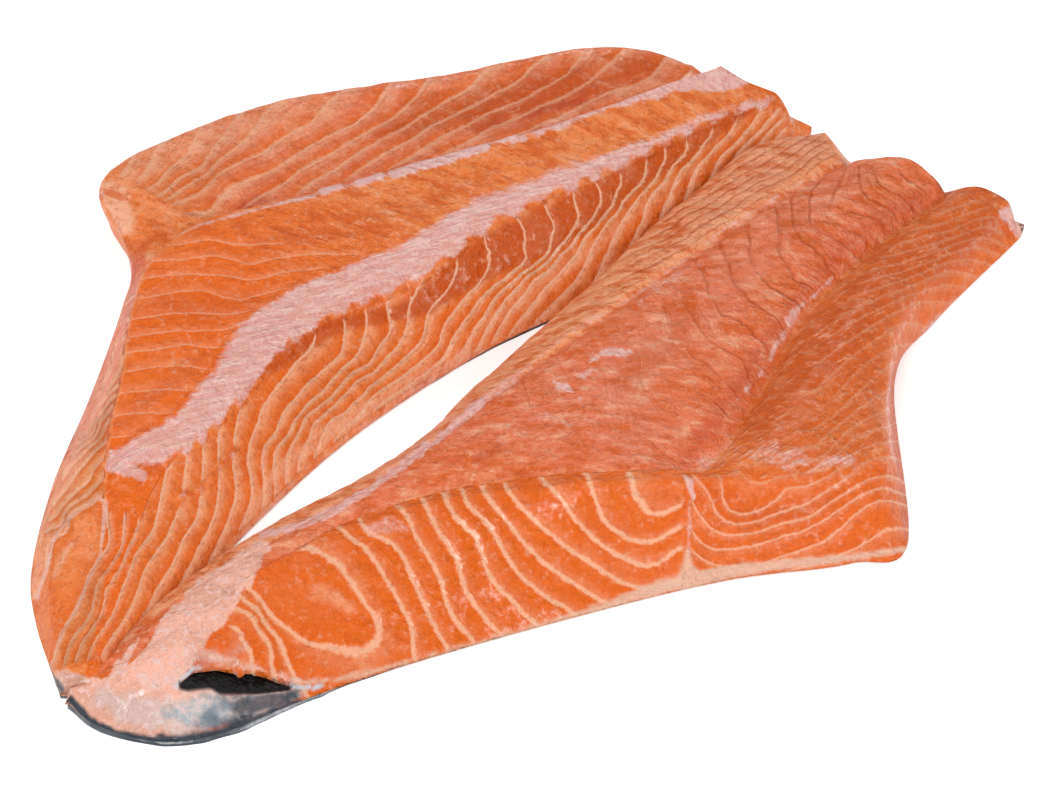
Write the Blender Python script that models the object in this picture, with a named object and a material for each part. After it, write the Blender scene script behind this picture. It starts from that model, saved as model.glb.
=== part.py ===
"""A salmon tail opened into two fillets that still hang together at the tail.

It lies skin down, its tail end towards -X and -Y. Its two fillets open as a narrow V to +X and +Y.
Each fillet is one surface drawn through a few feature lines that run from the tail to the far end.
A station, 0 at the tail and 1 at the far end, says how far along a line is. All the lines of a
fillet at one station make one rib, from the side that faces the gap to the outer side.
Lengths in the tables are millimetres, in plan as seen from above. The model is in metres.
"""

import bmesh
import bpy
import numpy as np

MM = 0.001
PLAN_CENTRE = (5.10, 14.28)

# Right fillet: (station, x, y, height) of each line, from the gap side to the cut front face.
RIGHT_GAP_FOOT = (
    (0.00, -112, -99, 0), (0.12, -94, -77, 0), (0.26, -68, -49, 0), (0.42, -35, -19, 0),
    (0.56, -13, 11, 0), (0.72, 17, 42, 0), (0.86, 50, 78, 0), (1.00, 83, 106, 0),
)
RIGHT_ROLL = (
    (0.00, -112, -99, 3), (0.12, -92, -74, 8), (0.26, -66, -51, 12), (0.42, -32, -23, 12),
    (0.56, -10, 7, 12), (0.72, 16, 41, 13), (0.86, 45, 79, 14), (0.94, 65, 101, 14), (1.00, 82, 108, 12),
)
RIGHT_SEAM = (
    (0.00, -112, -99, 4), (0.12, -88, -76, 10), (0.26, -57, -53, 15), (0.42, -28, -30, 19),
    (0.56, -1, 0, 20), (0.72, 31, 34, 20), (0.86, 61, 65, 19), (1.00, 88, 92, 16),
)
RIGHT_GROOVE = (
    (0.00, -112, -100, 4), (0.12, -83, -84, 12), (0.26, -46, -53, 18), (0.42, -7, -40, 23),
    (0.56, 29, -41, 26), (0.65, 44, -42, 24), (0.74, 58, -14, 22), (0.82, 74, 24, 20),
    (0.90, 91, 51, 17), (1.00, 116, 83, 12),
)
RIGHT_BROW = (
    (0.00, -112, -101, 4), (0.06, -97, -97, 9), (0.12, -80, -81, 13), (0.26, -43, -56, 19), (0.42, 5, -49, 25),
    (0.56, 41, -49, 27), (0.68, 69, -45, 25), (0.76, 90, -33, 20), (0.84, 93, -6, 18),
    (0.92, 101, 31, 17), (1.00, 130, 78, 9),
)
RIGHT_FOOT = (
    (0.00, -113, -102, 0), (0.03, -106, -109, 0), (0.07, -92, -114, 0), (0.13, -76, -112, 0),
    (0.20, -58, -102, 0), (0.28, -38, -92, 0), (0.42, 11, -72, 0), (0.56, 52, -58, 0),
    (0.68, 83, -52, 0), (0.76, 97.5, -44.5, 0), (0.84, 98, 17, 0),
    (0.92, 110, 41, 0), (1.00, 135, 75, 0),
)

# Left fillet: the same, from the gap side over the raised slab and the far strip to the outer side.
LEFT_GAP_FOOT = (
    (0.00, -105, -100, 0), (0.10, -94, -80, 0), (0.20, -82, -58, 0), (0.32, -68, -35, 0),
    (0.46, -46, -5, 0), (0.62, -13, 28, 0), (0.80, 29, 60, 0), (1.00, 79, 117, 0),
)
LEFT_EDGE = (
    (0.00, -107, -100, 6), (0.10, -99, -72, 11), (0.20, -96, -45, 16), (0.30, -85, -25, 20),
    (0.40, -70, -3, 22), (0.50, -55, 18, 23), (0.62, -26, 39, 24), (0.80, 17, 73, 25), (1.00, 71, 117, 21),
)
LEFT_RIDGE = (
    (0.00, -109, -100, 6), (0.10, -106, -72, 11), (0.20, -107, -41, 16), (0.30, -107, -23, 20),
    (0.40, -105, -5, 23), (0.48, -104, 20, 24), (0.56, -99, 41, 25), (0.62, -88, 53, 26),
    (0.72, -53, 66, 27), (0.85, -2, 88, 28), (1.00, 55, 120, 28),
)
LEFT_BACK = (
    (0.00, -113, -100, 5), (0.10, -119, -75, 8), (0.20, -121, -46, 10), (0.30, -117, -21, 10),
    (0.40, -111, 7, 9), (0.50, -108, 40, 8), (0.58, -108, 57, 12), (0.64, -117, 79, 18),
    (0.72, -87, 106, 19), (0.85, -25, 125, 20), (0.95, 29, 138, 20), (1.00, 46, 135, 16),
)
LEFT_FOOT = (
    (0.00, -115, -99, 0), (0.10, -123, -75, 0), (0.20, -126, -54, 0), (0.30, -123, -22, 0),
    (0.40, -116, 11, 0), (0.50, -110, 47, 0), (0.58, -109, 66, 0), (0.64, -116, 87, 0),
    (0.72, -91, 112, 0), (0.85, -28, 132, 0), (0.95, 29, 143, 0), (1.00, 47, 140, 0),
)

# Lines between two others: (part of the way, then (station, lift) pairs).
RIGHT_PLANE = (0.50, ((0.0, 0.5), (0.3, 1.0), (1.0, 3.0)))
RIGHT_MOUND = (0.45, ((0.0, 0.3), (0.6, 0.5), (0.72, 3.0), (0.9, 4.0), (1.0, 2.0)))
LEFT_LIP = (0.08, ((0.0, 1.5), (0.2, 2.5), (1.0, 2.5)))
LEFT_CROWN = (0.50, ((0.0, 0.3), (0.3, 1.5), (1.0, 0.5)))
LEFT_TROUGH = (0.28, ((0.0, 0.0), (0.5, 0.0), (0.64, -7.0), (0.9, -8.0), (1.0, -7.0)))

# How far each line's far end stands out past the last rib.
RIGHT_REACH = (0, 1, 0, 5, 1, 4, 5, 2)
LEFT_REACH = (0, -2, -2, -3, -1, 0, 1, 0)
REACH_FROM = 0.92

# Share of the rounding that each line keeps: a low number is a crisp edge.
RIGHT_ROUNDNESS = (1.0, 1.0, 0.5, 1.0, 0.5, 1.0, 0.6, 1.0)
LEFT_ROUNDNESS = (1.0, 0.8, 0.7, 1.0, 0.35, 0.6, 0.6, 1.0)

# Flakes: how many along a fillet, how far a flake's line slants between two lines, and its depth.
RIGHT_FACE_FLAKES = (34, 0.055, 0.8)
LEFT_FACE_FLAKES = (38, -0.130, 0.9)
RIBS = 172
RIGHT_ACROSS = (0, 0.6, 1.2, 1.7, 2.0, 2.4, 3.0, 3.6, 4.0, 4.5, 5.2, 6.0, 6.35, 6.7, 7.0)
LEFT_ACROSS = (0, 0.5, 1.0, 1.35, 1.7, 2.1, 3.0, 3.7, 4.0, 4.5, 5.0, 5.5, 6.0, 6.5, 7.0)

# The torn pocket between skin and flesh at the tail's front: centre, half sizes and turn in plan.
POCKET_CENTRE = (-70.5, -98.0, 3.7)
POCKET_HALF = (15.0, 9.0, 2.1)
POCKET_TURN = 0.10

SMALLEST_EDGE = 0.00004

FLESH_COLOUR = (0.72, 0.215, 0.07, 1.0)
FLESH_ROUGHNESS = 0.32


def between_knots(knots, stations):
    """Values of a smooth curve through knots (rows of station, value...) at the stations."""
    table = np.array(knots, float)
    at, value = table[:, 0], table[:, 1:]
    step = np.diff(at)[:, None]
    slope = np.diff(value, axis=0) / step
    tangent = np.empty_like(value)
    tangent[0], tangent[-1] = slope[0], slope[-1]
    tangent[1:-1] = (slope[:-1] * step[1:] + slope[1:] * step[:-1]) / (step[1:] + step[:-1])
    low = np.clip(np.searchsorted(at, stations, side="right") - 1, 0, len(at) - 2)
    part = ((stations - at[low]) / np.diff(at)[low])[:, None]
    return hermite(value[low], value[low + 1], tangent[low] * step[low], tangent[low + 1] * step[low], part)


def hermite(start, end, leaving, arriving, part):
    """Cubic from start to end with the given end tangents, at a part of the way from 0 to 1."""
    square, cube = part**2, part**3
    return (
        (2 * cube - 3 * square + 1) * start
        + (cube - 2 * square + part) * leaving
        + (3 * square - 2 * cube) * end
        + (cube - square) * arriving
    )


def smooth_step(value, start, end):
    """0 before start, 1 after end, smooth between."""
    part = np.clip((value - start) / (end - start), 0, 1)
    return part * part * (3 - 2 * part)


def line_between(first, second, rule, stations):
    """A line part of the way from one line to the next, lifted by its own amounts."""
    share, lifts = rule
    line = first * (1 - share) + second * share
    line[:, 2] += between_knots(lifts, stations)[:, 0]
    return line


def reach_out(lines, reach, stations):
    """Moves the far ends of the lines along the fillet, each by its own reach."""
    towards = lines[-1] - lines[-12]
    towards[:, 2] = 0
    towards /= np.linalg.norm(towards, axis=1)[:, None] + 1e-9
    weight = smooth_step(stations, REACH_FROM, 1)[:, None, None]
    return lines + weight * towards[None] * np.array(reach, float)[None, :, None]


def across_lines(lines, roundness, places):
    """Ribs through the lines: a cubic across each rib, whose tangents lean to the nearer neighbour."""
    chord = np.diff(lines, axis=1)
    length = np.linalg.norm(chord, axis=2, keepdims=True) + 1e-6
    way = chord / length
    tangent = np.empty_like(lines)
    tangent[:, 0], tangent[:, -1] = way[:, 0], way[:, -1]
    tangent[:, 1:-1] = (way[:, :-1] * length[:, 1:] + way[:, 1:] * length[:, :-1]) / (length[:, 1:] + length[:, :-1])
    tangent *= np.array(roundness)[None, :, None]
    low = np.clip(np.floor(places).astype(int), 0, lines.shape[1] - 2)
    part = (places - low)[None, :, None]
    span = length[:, low]
    return hermite(lines[:, low], lines[:, low + 1], tangent[:, low] * span, tangent[:, low + 1] * span, part)


def outward(grid):
    """Unit normals of a grid of points, up on top of the fillet."""
    along = np.gradient(grid, axis=0)
    across = np.gradient(grid, axis=1)
    normal = np.cross(across, along)
    return normal / (np.linalg.norm(normal, axis=2, keepdims=True) + 1e-9)


def flake_relief(stations, places, flakes, window):
    """Rounded flakes with sharp valleys, across the part of a fillet that the window covers."""
    count, slant, depth = flakes
    phase = count * (stations[:, None] + slant * (places[None, :] - window[0]))
    inside = smooth_step(places, window[0] - 0.3, window[0] + 0.3) * smooth_step(-places, -window[1] - 0.05, -window[1] + 0.3)
    end_fade = smooth_step(stations, 0.05, 0.1) * smooth_step(-stations, -0.99, -0.95)
    dome = np.sqrt(np.abs(np.sin(np.pi * phase)))
    return depth * (dome - 0.7) * inside[None, :] * end_fade[:, None]


def right_grid():
    """Top surface of the right fillet: rolled strip, plane, groove, mound and cut front face."""
    stations = np.linspace(0, 1, RIBS)
    gap, roll, seam, groove, brow, foot = (
        between_knots(knots, stations)
        for knots in (RIGHT_GAP_FOOT, RIGHT_ROLL, RIGHT_SEAM, RIGHT_GROOVE, RIGHT_BROW, RIGHT_FOOT)
    )
    plane = line_between(seam, groove, RIGHT_PLANE, stations)
    mound = line_between(groove, brow, RIGHT_MOUND, stations)
    lines = np.stack([gap, roll, seam, plane, groove, mound, brow, foot], axis=1)
    places = np.array(RIGHT_ACROSS, float)
    grid = across_lines(reach_out(lines, RIGHT_REACH, stations), RIGHT_ROUNDNESS, places)
    return grid + outward(grid) * flake_relief(stations, places, RIGHT_FACE_FLAKES, (6, 7))[:, :, None]


def left_grid():
    """Top surface of the left fillet: flaked face, raised slab, trough, far strip and flank."""
    stations = np.linspace(0, 1, RIBS)
    gap, edge, ridge, back, foot = (
        between_knots(knots, stations)
        for knots in (LEFT_GAP_FOOT, LEFT_EDGE, LEFT_RIDGE, LEFT_BACK, LEFT_FOOT)
    )
    lip = line_between(gap, edge, LEFT_LIP, stations)
    crown = line_between(edge, ridge, LEFT_CROWN, stations)
    trough = line_between(ridge, back, LEFT_TROUGH, stations)
    lines = np.stack([gap, lip, edge, crown, ridge, trough, back, foot], axis=1)
    places = np.array(LEFT_ACROSS, float)
    grid = across_lines(reach_out(lines, LEFT_REACH, stations), LEFT_ROUNDNESS, places)
    return grid + outward(grid) * flake_relief(stations, places, LEFT_FACE_FLAKES, (0.6, 2))[:, :, None]


def closed_solid(name, grid):
    """Closes a top surface with a flat underside and two end faces, and makes it an object."""
    grid = grid.copy()
    grid[:, 0, 2] = 0
    grid[:, -1, 2] = 0
    grid[:, 1:-1, 2] = np.maximum(grid[:, 1:-1, 2], 0.6)
    ribs, columns = grid.shape[:2]
    number = np.arange(ribs * columns).reshape(ribs, columns)
    faces = [
        (number[i, j], number[i, j + 1], number[i + 1, j + 1], number[i + 1, j])
        for i in range(ribs - 1)
        for j in range(columns - 1)
    ]
    faces += [(number[i, -1], number[i, 0], number[i + 1, 0], number[i + 1, -1]) for i in range(ribs - 1)]
    points = [tuple(point) for point in grid.reshape(-1, 3)]
    for rib in (0, ribs - 1):
        middle = (grid[rib, 0] + grid[rib, -1]) / 2
        middle[2] = grid[rib, :, 2].mean() * 0.5
        points.append(tuple(middle))
        ring = list(number[rib]) + [number[rib, 0]]
        faces += [(ring[k], ring[k + 1], len(points) - 1) for k in range(columns)]
    moved = [((x - PLAN_CENTRE[0]) * MM, (y - PLAN_CENTRE[1]) * MM, z * MM) for x, y, z in points]
    mesh = bpy.data.meshes.new(name)
    mesh.from_pydata(moved, [], [tuple(int(k) for k in face) for face in faces])
    mesh.update()
    solid = bpy.data.objects.new(name, mesh)
    bpy.context.scene.collection.objects.link(solid)
    face_out(solid)
    return solid


def face_out(solid):
    """Turns every face of a closed mesh outwards."""
    bpy.ops.object.select_all(action="DESELECT")
    bpy.context.view_layer.objects.active = solid
    solid.select_set(True)
    bpy.ops.object.mode_set(mode="EDIT")
    bpy.ops.mesh.select_all(action="SELECT")
    bpy.ops.mesh.normals_make_consistent(inside=False)
    bpy.ops.object.mode_set(mode="OBJECT")


def pocket_cutter():
    """A flat ellipsoid that hollows the torn pocket at the tail."""
    bpy.ops.mesh.primitive_uv_sphere_add(segments=20, ring_count=10)
    cutter = bpy.context.object
    cutter.name = "pocket_cutter"
    cutter.location = [(POCKET_CENTRE[k] - (*PLAN_CENTRE, 0)[k]) * MM for k in range(3)]
    cutter.rotation_euler = (0, 0, POCKET_TURN)
    cutter.scale = [half * MM for half in POCKET_HALF]
    bpy.context.view_layer.update()
    return cutter


def combine(base, others, operation):
    """Applies one Boolean of the others on the base, and removes the others."""
    helpers = bpy.data.collections.new(f"{base.name}_{operation.lower()}")
    bpy.context.scene.collection.children.link(helpers)
    for other in others:
        for holder in list(other.users_collection):
            holder.objects.unlink(other)
        helpers.objects.link(other)
    modifier = base.modifiers.new(operation.lower(), "BOOLEAN")
    modifier.operation = operation
    modifier.operand_type = "COLLECTION"
    modifier.collection = helpers
    modifier.solver = "EXACT"
    bpy.context.view_layer.objects.active = base
    bpy.ops.object.modifier_apply(modifier=modifier.name)
    for other in others:
        bpy.data.objects.remove(other)
    bpy.data.collections.remove(helpers)


def fill_sealed_hollows(solid):
    """Merges what is too small to see and keeps the outer shell, so that a sealed hollow is filled."""
    shape = bmesh.new()
    shape.from_mesh(solid.data)
    bmesh.ops.remove_doubles(shape, verts=shape.verts, dist=SMALLEST_EDGE)
    bmesh.ops.dissolve_degenerate(shape, edges=shape.edges, dist=SMALLEST_EDGE)
    bmesh.ops.triangulate(shape, faces=shape.faces)
    waiting = set(shape.faces)
    shells = []
    while waiting:
        edge_of_shell = [waiting.pop()]
        shell = set(edge_of_shell)
        while edge_of_shell:
            face = edge_of_shell.pop()
            beside = {other for edge in face.edges for other in edge.link_faces} & waiting
            waiting -= beside
            shell |= beside
            edge_of_shell.extend(beside)
        shells.append(shell)
    outer = max(shells, key=len)
    inner = [face for shell in shells if shell is not outer for face in shell]
    bmesh.ops.delete(shape, geom=inner, context="FACES")
    shape.to_mesh(solid.data)
    shape.free()


def flesh_material():
    """Raw salmon: orange-pink and moist."""
    material = bpy.data.materials.new("salmon_flesh")
    material.use_nodes = True
    shader = material.node_tree.nodes["Principled BSDF"]
    shader.inputs["Base Color"].default_value = FLESH_COLOUR
    shader.inputs["Roughness"].default_value = FLESH_ROUGHNESS
    shader.inputs["Metallic"].default_value = 0
    return material


def main():
    """Builds the tail as one solid."""
    for old in list(bpy.data.objects):
        bpy.data.objects.remove(old)
    tail = closed_solid("salmon_tail", left_grid())
    combine(tail, [closed_solid("right_fillet", right_grid())], "UNION")
    fill_sealed_hollows(tail)
    combine(tail, [pocket_cutter()], "DIFFERENCE")
    fill_sealed_hollows(tail)
    tail.data.materials.clear()
    tail.data.materials.append(flesh_material())
    tail.data.shade_smooth()
    tail.data.set_sharp_from_angle(angle=0.6)


main()
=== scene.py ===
"""A salmon tail opened into two fillets: the looks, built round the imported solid.

The two fillets are surfaces drawn through the same feature lines as the solid, at a fine grid.
Lengths on the fish are millimetres in plan, as in the solid, and become metres when a mesh is made.
The flake lines and colour fields are marked where the picture shows them, in picture points of its
1054 by 788 frame, and are carried to the surface through the one camera that also takes the render.
"""

import logging
import math
from dataclasses import dataclass, field
from enum import Enum

import bpy
import numpy as np
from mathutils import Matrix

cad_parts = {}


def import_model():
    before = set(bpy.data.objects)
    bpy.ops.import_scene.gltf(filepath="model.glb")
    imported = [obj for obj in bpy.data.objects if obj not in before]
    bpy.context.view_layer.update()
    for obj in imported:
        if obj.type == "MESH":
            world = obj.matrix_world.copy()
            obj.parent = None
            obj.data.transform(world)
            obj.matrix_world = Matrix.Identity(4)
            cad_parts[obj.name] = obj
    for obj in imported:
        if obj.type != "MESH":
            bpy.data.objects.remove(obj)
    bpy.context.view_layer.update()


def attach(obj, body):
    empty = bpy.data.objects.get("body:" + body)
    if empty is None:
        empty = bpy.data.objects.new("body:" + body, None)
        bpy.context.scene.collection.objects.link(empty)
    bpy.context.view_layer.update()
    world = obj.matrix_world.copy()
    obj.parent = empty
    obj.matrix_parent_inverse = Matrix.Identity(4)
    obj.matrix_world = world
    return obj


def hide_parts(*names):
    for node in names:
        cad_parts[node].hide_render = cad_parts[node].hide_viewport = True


LOG = logging.getLogger("salmon_tail")
MM = 0.001
PLAN_CENTRE = np.array([5.10, 14.28, 0.0])
PICTURE_WIDTH = 1054
PICTURE_HEIGHT = 788
SKIN_THICKNESS = 1.0
FLESH_HEIGHT = 24.0
POCKET_DEPTH = (0.8, 8.0, 0.6)

# Keeps a division by a length from failing where the length is nothing.
TINY = 1e-9
LATTICE = 256
OCTAVE_SUM = 1.75
RAGGED_SIZE = 9.0
# Marks are solved in hundreds of picture points, for a number of places at a time.
MARK_SCALE = 100.0
MARK_SLACK = 1e-3
PLACES_AT_ONCE = 20000
PATCH_SIZE = 60.0
# The gap between two lines, in picture points, at which a line is as wide as its family says.
USUAL_SPACING = 12.0
SPACING_LIMITS = (0.35, 1.8)
SMALLEST_AREA = 1e-6
# A family's soft border in stations and in places across.
STATION_SOFT = 0.025
PLACE_SOFT = 0.30
# A flake's height rises over this part of it, then falls by this share.
FLAKE_RISE = 0.18
FLAKE_FALL = 0.85
# Cosine between surface and view at which lines start to show, and at which they show in full.
SEEN_FROM = (-0.02, 0.14)
# Unevenness of the flesh: height, size and seed.
UNEVEN = ((0.40, 16.0, 3), (0.34, 5.0, 8))

Knots = tuple[tuple[float, ...], ...]
Colour = tuple[float, float, float, float]
Marks = tuple[tuple[float | tuple[float, float], ...], ...]
Area = tuple[float, float, float, float]


class Slot(Enum):
    """The record's finishes."""

    FLESH = "flesh"
    SKIN = "skin"


def ease(part: np.ndarray) -> np.ndarray:
    """3p^2 - 2p^3."""
    return part * part * (3.0 - 2.0 * part)


def smooth_step(value: np.ndarray, start: float, end: float) -> np.ndarray:
    """0 before start, 1 after end, eased between. End may lie below start, and the step then falls."""
    return ease(np.clip((value - start) / (end - start), 0.0, 1.0))


def unit(vector: np.ndarray) -> np.ndarray:
    """Vectors along the last axis, brought to length 1."""
    return vector / (np.linalg.norm(vector, axis=-1, keepdims=True) + TINY)


def window(value: np.ndarray, low: float, high: float, soft: float) -> np.ndarray:
    """1 between low and high, falling to 0 over soft outside each end."""
    return smooth_step(value, low - soft, low) * smooth_step(value, high + soft, high)


def valley(place: np.ndarray, middle: float, width: float) -> np.ndarray:
    """1 at the middle, falling off to both sides as a bell over width."""
    return np.exp(-(((place - middle) / width) ** 2))


def value_noise(x: np.ndarray, y: np.ndarray, seed: int) -> np.ndarray:
    """Smooth random field from -1 to 1: seeded lattice values, eased and blended bilinearly.

    Args:
        x: first coordinate, one lattice cell per unit.
        y: second coordinate.
        seed: which field.

    Returns:
        The field at each point.
    """
    table = np.random.default_rng(seed).uniform(-1.0, 1.0, (LATTICE, LATTICE))
    column, row = np.floor(x).astype(int), np.floor(y).astype(int)
    across, along = ease(x - column), ease(y - row)
    near, far = (
        table[level % LATTICE, column % LATTICE] * (1 - across)
        + table[level % LATTICE, (column + 1) % LATTICE] * across
        for level in (row, row + 1)
    )
    return near * (1 - along) + far * along


def rough_noise(x: np.ndarray, y: np.ndarray, size: float, seed: int, octaves: int = 3) -> np.ndarray:
    """Sum of value noises, each octave half as large and half as strong as the one before.

    Args:
        x: first coordinate.
        y: second coordinate.
        size: side of the largest lattice cell.
        seed: which field.
        octaves: how many noises are summed.

    Returns:
        The field at each point.
    """
    total = np.zeros_like(x, dtype=float)
    strength = 1.0
    for octave in range(octaves):
        scale = 2.0**octave / size
        total += strength * value_noise(x * scale + 17.0 * octave, y * scale - 9.0 * octave, seed + octave)
        strength *= 0.5
    return total / OCTAVE_SUM


def hermite(
    start: np.ndarray, end: np.ndarray, leave: np.ndarray, arrive: np.ndarray, part: np.ndarray
) -> np.ndarray:
    """Cubic from start to end whose end tangents are leave and arrive.

    Args:
        start: value at part 0.
        end: value at part 1.
        leave: tangent at part 0, times the length of the piece.
        arrive: tangent at part 1, times the length of the piece.
        part: how far along, from 0 to 1.

    Returns:
        The value at part.
    """
    square, cube = part**2, part**3
    return (
        (2 * cube - 3 * square + 1) * start
        + (cube - 2 * square + part) * leave
        + (3 * square - 2 * cube) * end
        + (cube - square) * arrive
    )


def through_knots(knots: Knots, stations: np.ndarray) -> np.ndarray:
    """Smooth curve through knots: cubic pieces whose tangents weigh the two slopes beside each knot.

    Args:
        knots: rows of station, then values.
        stations: where to read the curve.

    Returns:
        One row of values for each station.
    """
    table = np.array(knots, float)
    at, value = table[:, 0], table[:, 1:]
    step = np.diff(at)[:, None]
    slope = np.diff(value, axis=0) / step
    tangent = np.empty_like(value)
    tangent[0], tangent[-1] = slope[0], slope[-1]
    tangent[1:-1] = (slope[:-1] * step[1:] + slope[1:] * step[:-1]) / (step[1:] + step[:-1])
    low = np.clip(np.searchsorted(at, stations, side="right") - 1, 0, len(at) - 2)
    part = ((stations - at[low]) / step[low, 0])[:, None]
    return hermite(value[low], value[low + 1], tangent[low] * step[low], tangent[low + 1] * step[low], part)


@dataclass(frozen=True)
class PictureCamera:
    """The camera that took the picture, in plan millimetres."""

    elevation: float = math.radians(42.0)
    distance: float = 1150.0
    lens: float = 150.0
    sensor: float = 36.0
    aim: tuple[float, float, float] = (0.0, 0.0, 12.0)

    @property
    def forward(self) -> np.ndarray:
        """Unit vector of the view."""
        return np.array([0.0, math.cos(self.elevation), -math.sin(self.elevation)])

    @property
    def place(self) -> np.ndarray:
        """Where the camera stands."""
        return np.array(self.aim) - self.distance * self.forward

    def picture_points(self, points: np.ndarray) -> np.ndarray:
        """Where points of the fish are in the picture.

        Args:
            points: plan millimetres, any shape that ends in 3.

        Returns:
            Picture points, the same shape ending in 2.
        """
        upward = np.array([0.0, math.sin(self.elevation), math.cos(self.elevation)])
        offset = points - self.place
        scale = self.lens / self.sensor * PICTURE_WIDTH / (offset @ self.forward)
        across = PICTURE_WIDTH / 2 + offset[..., 0] * scale
        down = PICTURE_HEIGHT / 2 - (offset @ upward) * scale
        return np.stack([across, down], axis=-1)

    def build(self) -> bpy.types.Object:
        """Makes the scene's camera.

        Returns:
            The camera object.
        """
        data = bpy.data.cameras.new("picture_camera")
        data.lens, data.sensor_width = self.lens, self.sensor
        data.clip_start, data.clip_end = 0.05, 20.0
        camera = bpy.data.objects.new("picture_camera", data)
        camera.location = (self.place - PLAN_CENTRE) * MM
        camera.rotation_euler = (math.pi / 2 - self.elevation, 0.0, 0.0)
        bpy.context.scene.collection.objects.link(camera)
        bpy.context.scene.camera = camera
        return camera


CAMERA = PictureCamera()


@dataclass(frozen=True)
class Stroke:
    """A soft brush stroke in the picture: points of x, y and full width."""

    points: tuple[tuple[float, float, float], ...]
    soft: float
    ragged: float
    strength: float

    def cover(self, at: np.ndarray, seed: int) -> np.ndarray:
        """How much the stroke covers each place.

        The distance to the nearest piece of the stroke, less half its width there and less a ragged
        noise, falls from full strength to nothing over soft.

        Args:
            at: picture points, N by 2.
            seed: which ragged noise.

        Returns:
            N numbers from 0 to strength.
        """
        track = np.array(self.points, float)
        reach = track[:, 2].max() / 2 + self.soft + self.ragged
        low, high = track[:, :2].min(axis=0) - reach, track[:, :2].max(axis=0) + reach
        inside = np.all((at > low) & (at < high), axis=1)
        spot = at[inside]
        best = np.full(len(spot), np.inf)
        for start, end in zip(track[:-1], track[1:]):
            way = end[:2] - start[:2]
            part = np.clip(((spot - start[:2]) @ way) / (way @ way + TINY), 0.0, 1.0)
            gap = np.linalg.norm(spot - (start[:2] + part[:, None] * way), axis=1)
            best = np.minimum(best, gap - (start[2] + part * (end[2] - start[2])) / 2)
        best += self.ragged * rough_noise(spot[:, 0], spot[:, 1], RAGGED_SIZE, seed)
        total = np.zeros(len(at))
        total[inside] = self.strength * smooth_step(best, self.soft / 2, -self.soft / 2)
        return total


def strokes(*rows: tuple[tuple[float, float, float], ...]) -> tuple[Stroke, ...]:
    """Strokes from rows of (soft, ragged, strength), then points of (x, y, full width)."""
    return tuple(Stroke(tuple(points), *finish) for finish, *points in rows)


def paint(group: tuple[Stroke, ...], at: np.ndarray, seed: int) -> np.ndarray:
    """The strongest of several strokes at each place."""
    return np.max([stroke.cover(at, seed + 7 * number) for number, stroke in enumerate(group)], axis=0)


def thin_plate(gap: np.ndarray) -> np.ndarray:
    """r^2 log r, and 0 at r = 0."""
    return np.where(gap > 0, gap**2 * np.log(gap + TINY), 0.0)


@dataclass(frozen=True)
class FlakeFamily:
    """A family of flake lines: each mark is a line's number and places in the picture where it runs.

    Between the marks the number is a thin-plate surface, so it bends as little as it can. A line lies
    wherever the number is whole.
    """

    marks: Marks
    depth: float
    line: float = 0.0
    dark: float = 0.0
    shade: float = 0.0
    width: float = 0.07
    least: float = -99.0
    waver: float = 0.05
    sway: float = 0.0

    def number(self, at: np.ndarray) -> np.ndarray:
        """The flake number at picture points: a plane plus a thin plate that meets every mark.

        Args:
            at: picture points, N by 2.

        Returns:
            N flake numbers.
        """
        known = np.array([point for _, *points in self.marks for point in points], float) / MARK_SCALE
        value = np.array([number for number, *points in self.marks for _ in points], float)
        count = len(known)
        gap = np.linalg.norm(known[:, None] - known[None], axis=2)
        kernel = thin_plate(gap) + np.eye(count) * MARK_SLACK
        plane = np.hstack([np.ones((count, 1)), known])
        left = np.block([[kernel, plane], [plane.T, np.zeros((3, 3))]])
        weight = np.linalg.solve(left, np.concatenate([value, np.zeros(3)]))
        result = np.empty(len(at))
        for start in range(0, len(at), PLACES_AT_ONCE):
            spot = at[start : start + PLACES_AT_ONCE] / MARK_SCALE
            bend = thin_plate(np.linalg.norm(spot[:, None] - known[None], axis=2)) @ weight[:count]
            result[start : start + PLACES_AT_ONCE] = bend + weight[count] + spot @ weight[count + 1 :]
        return result


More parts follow.
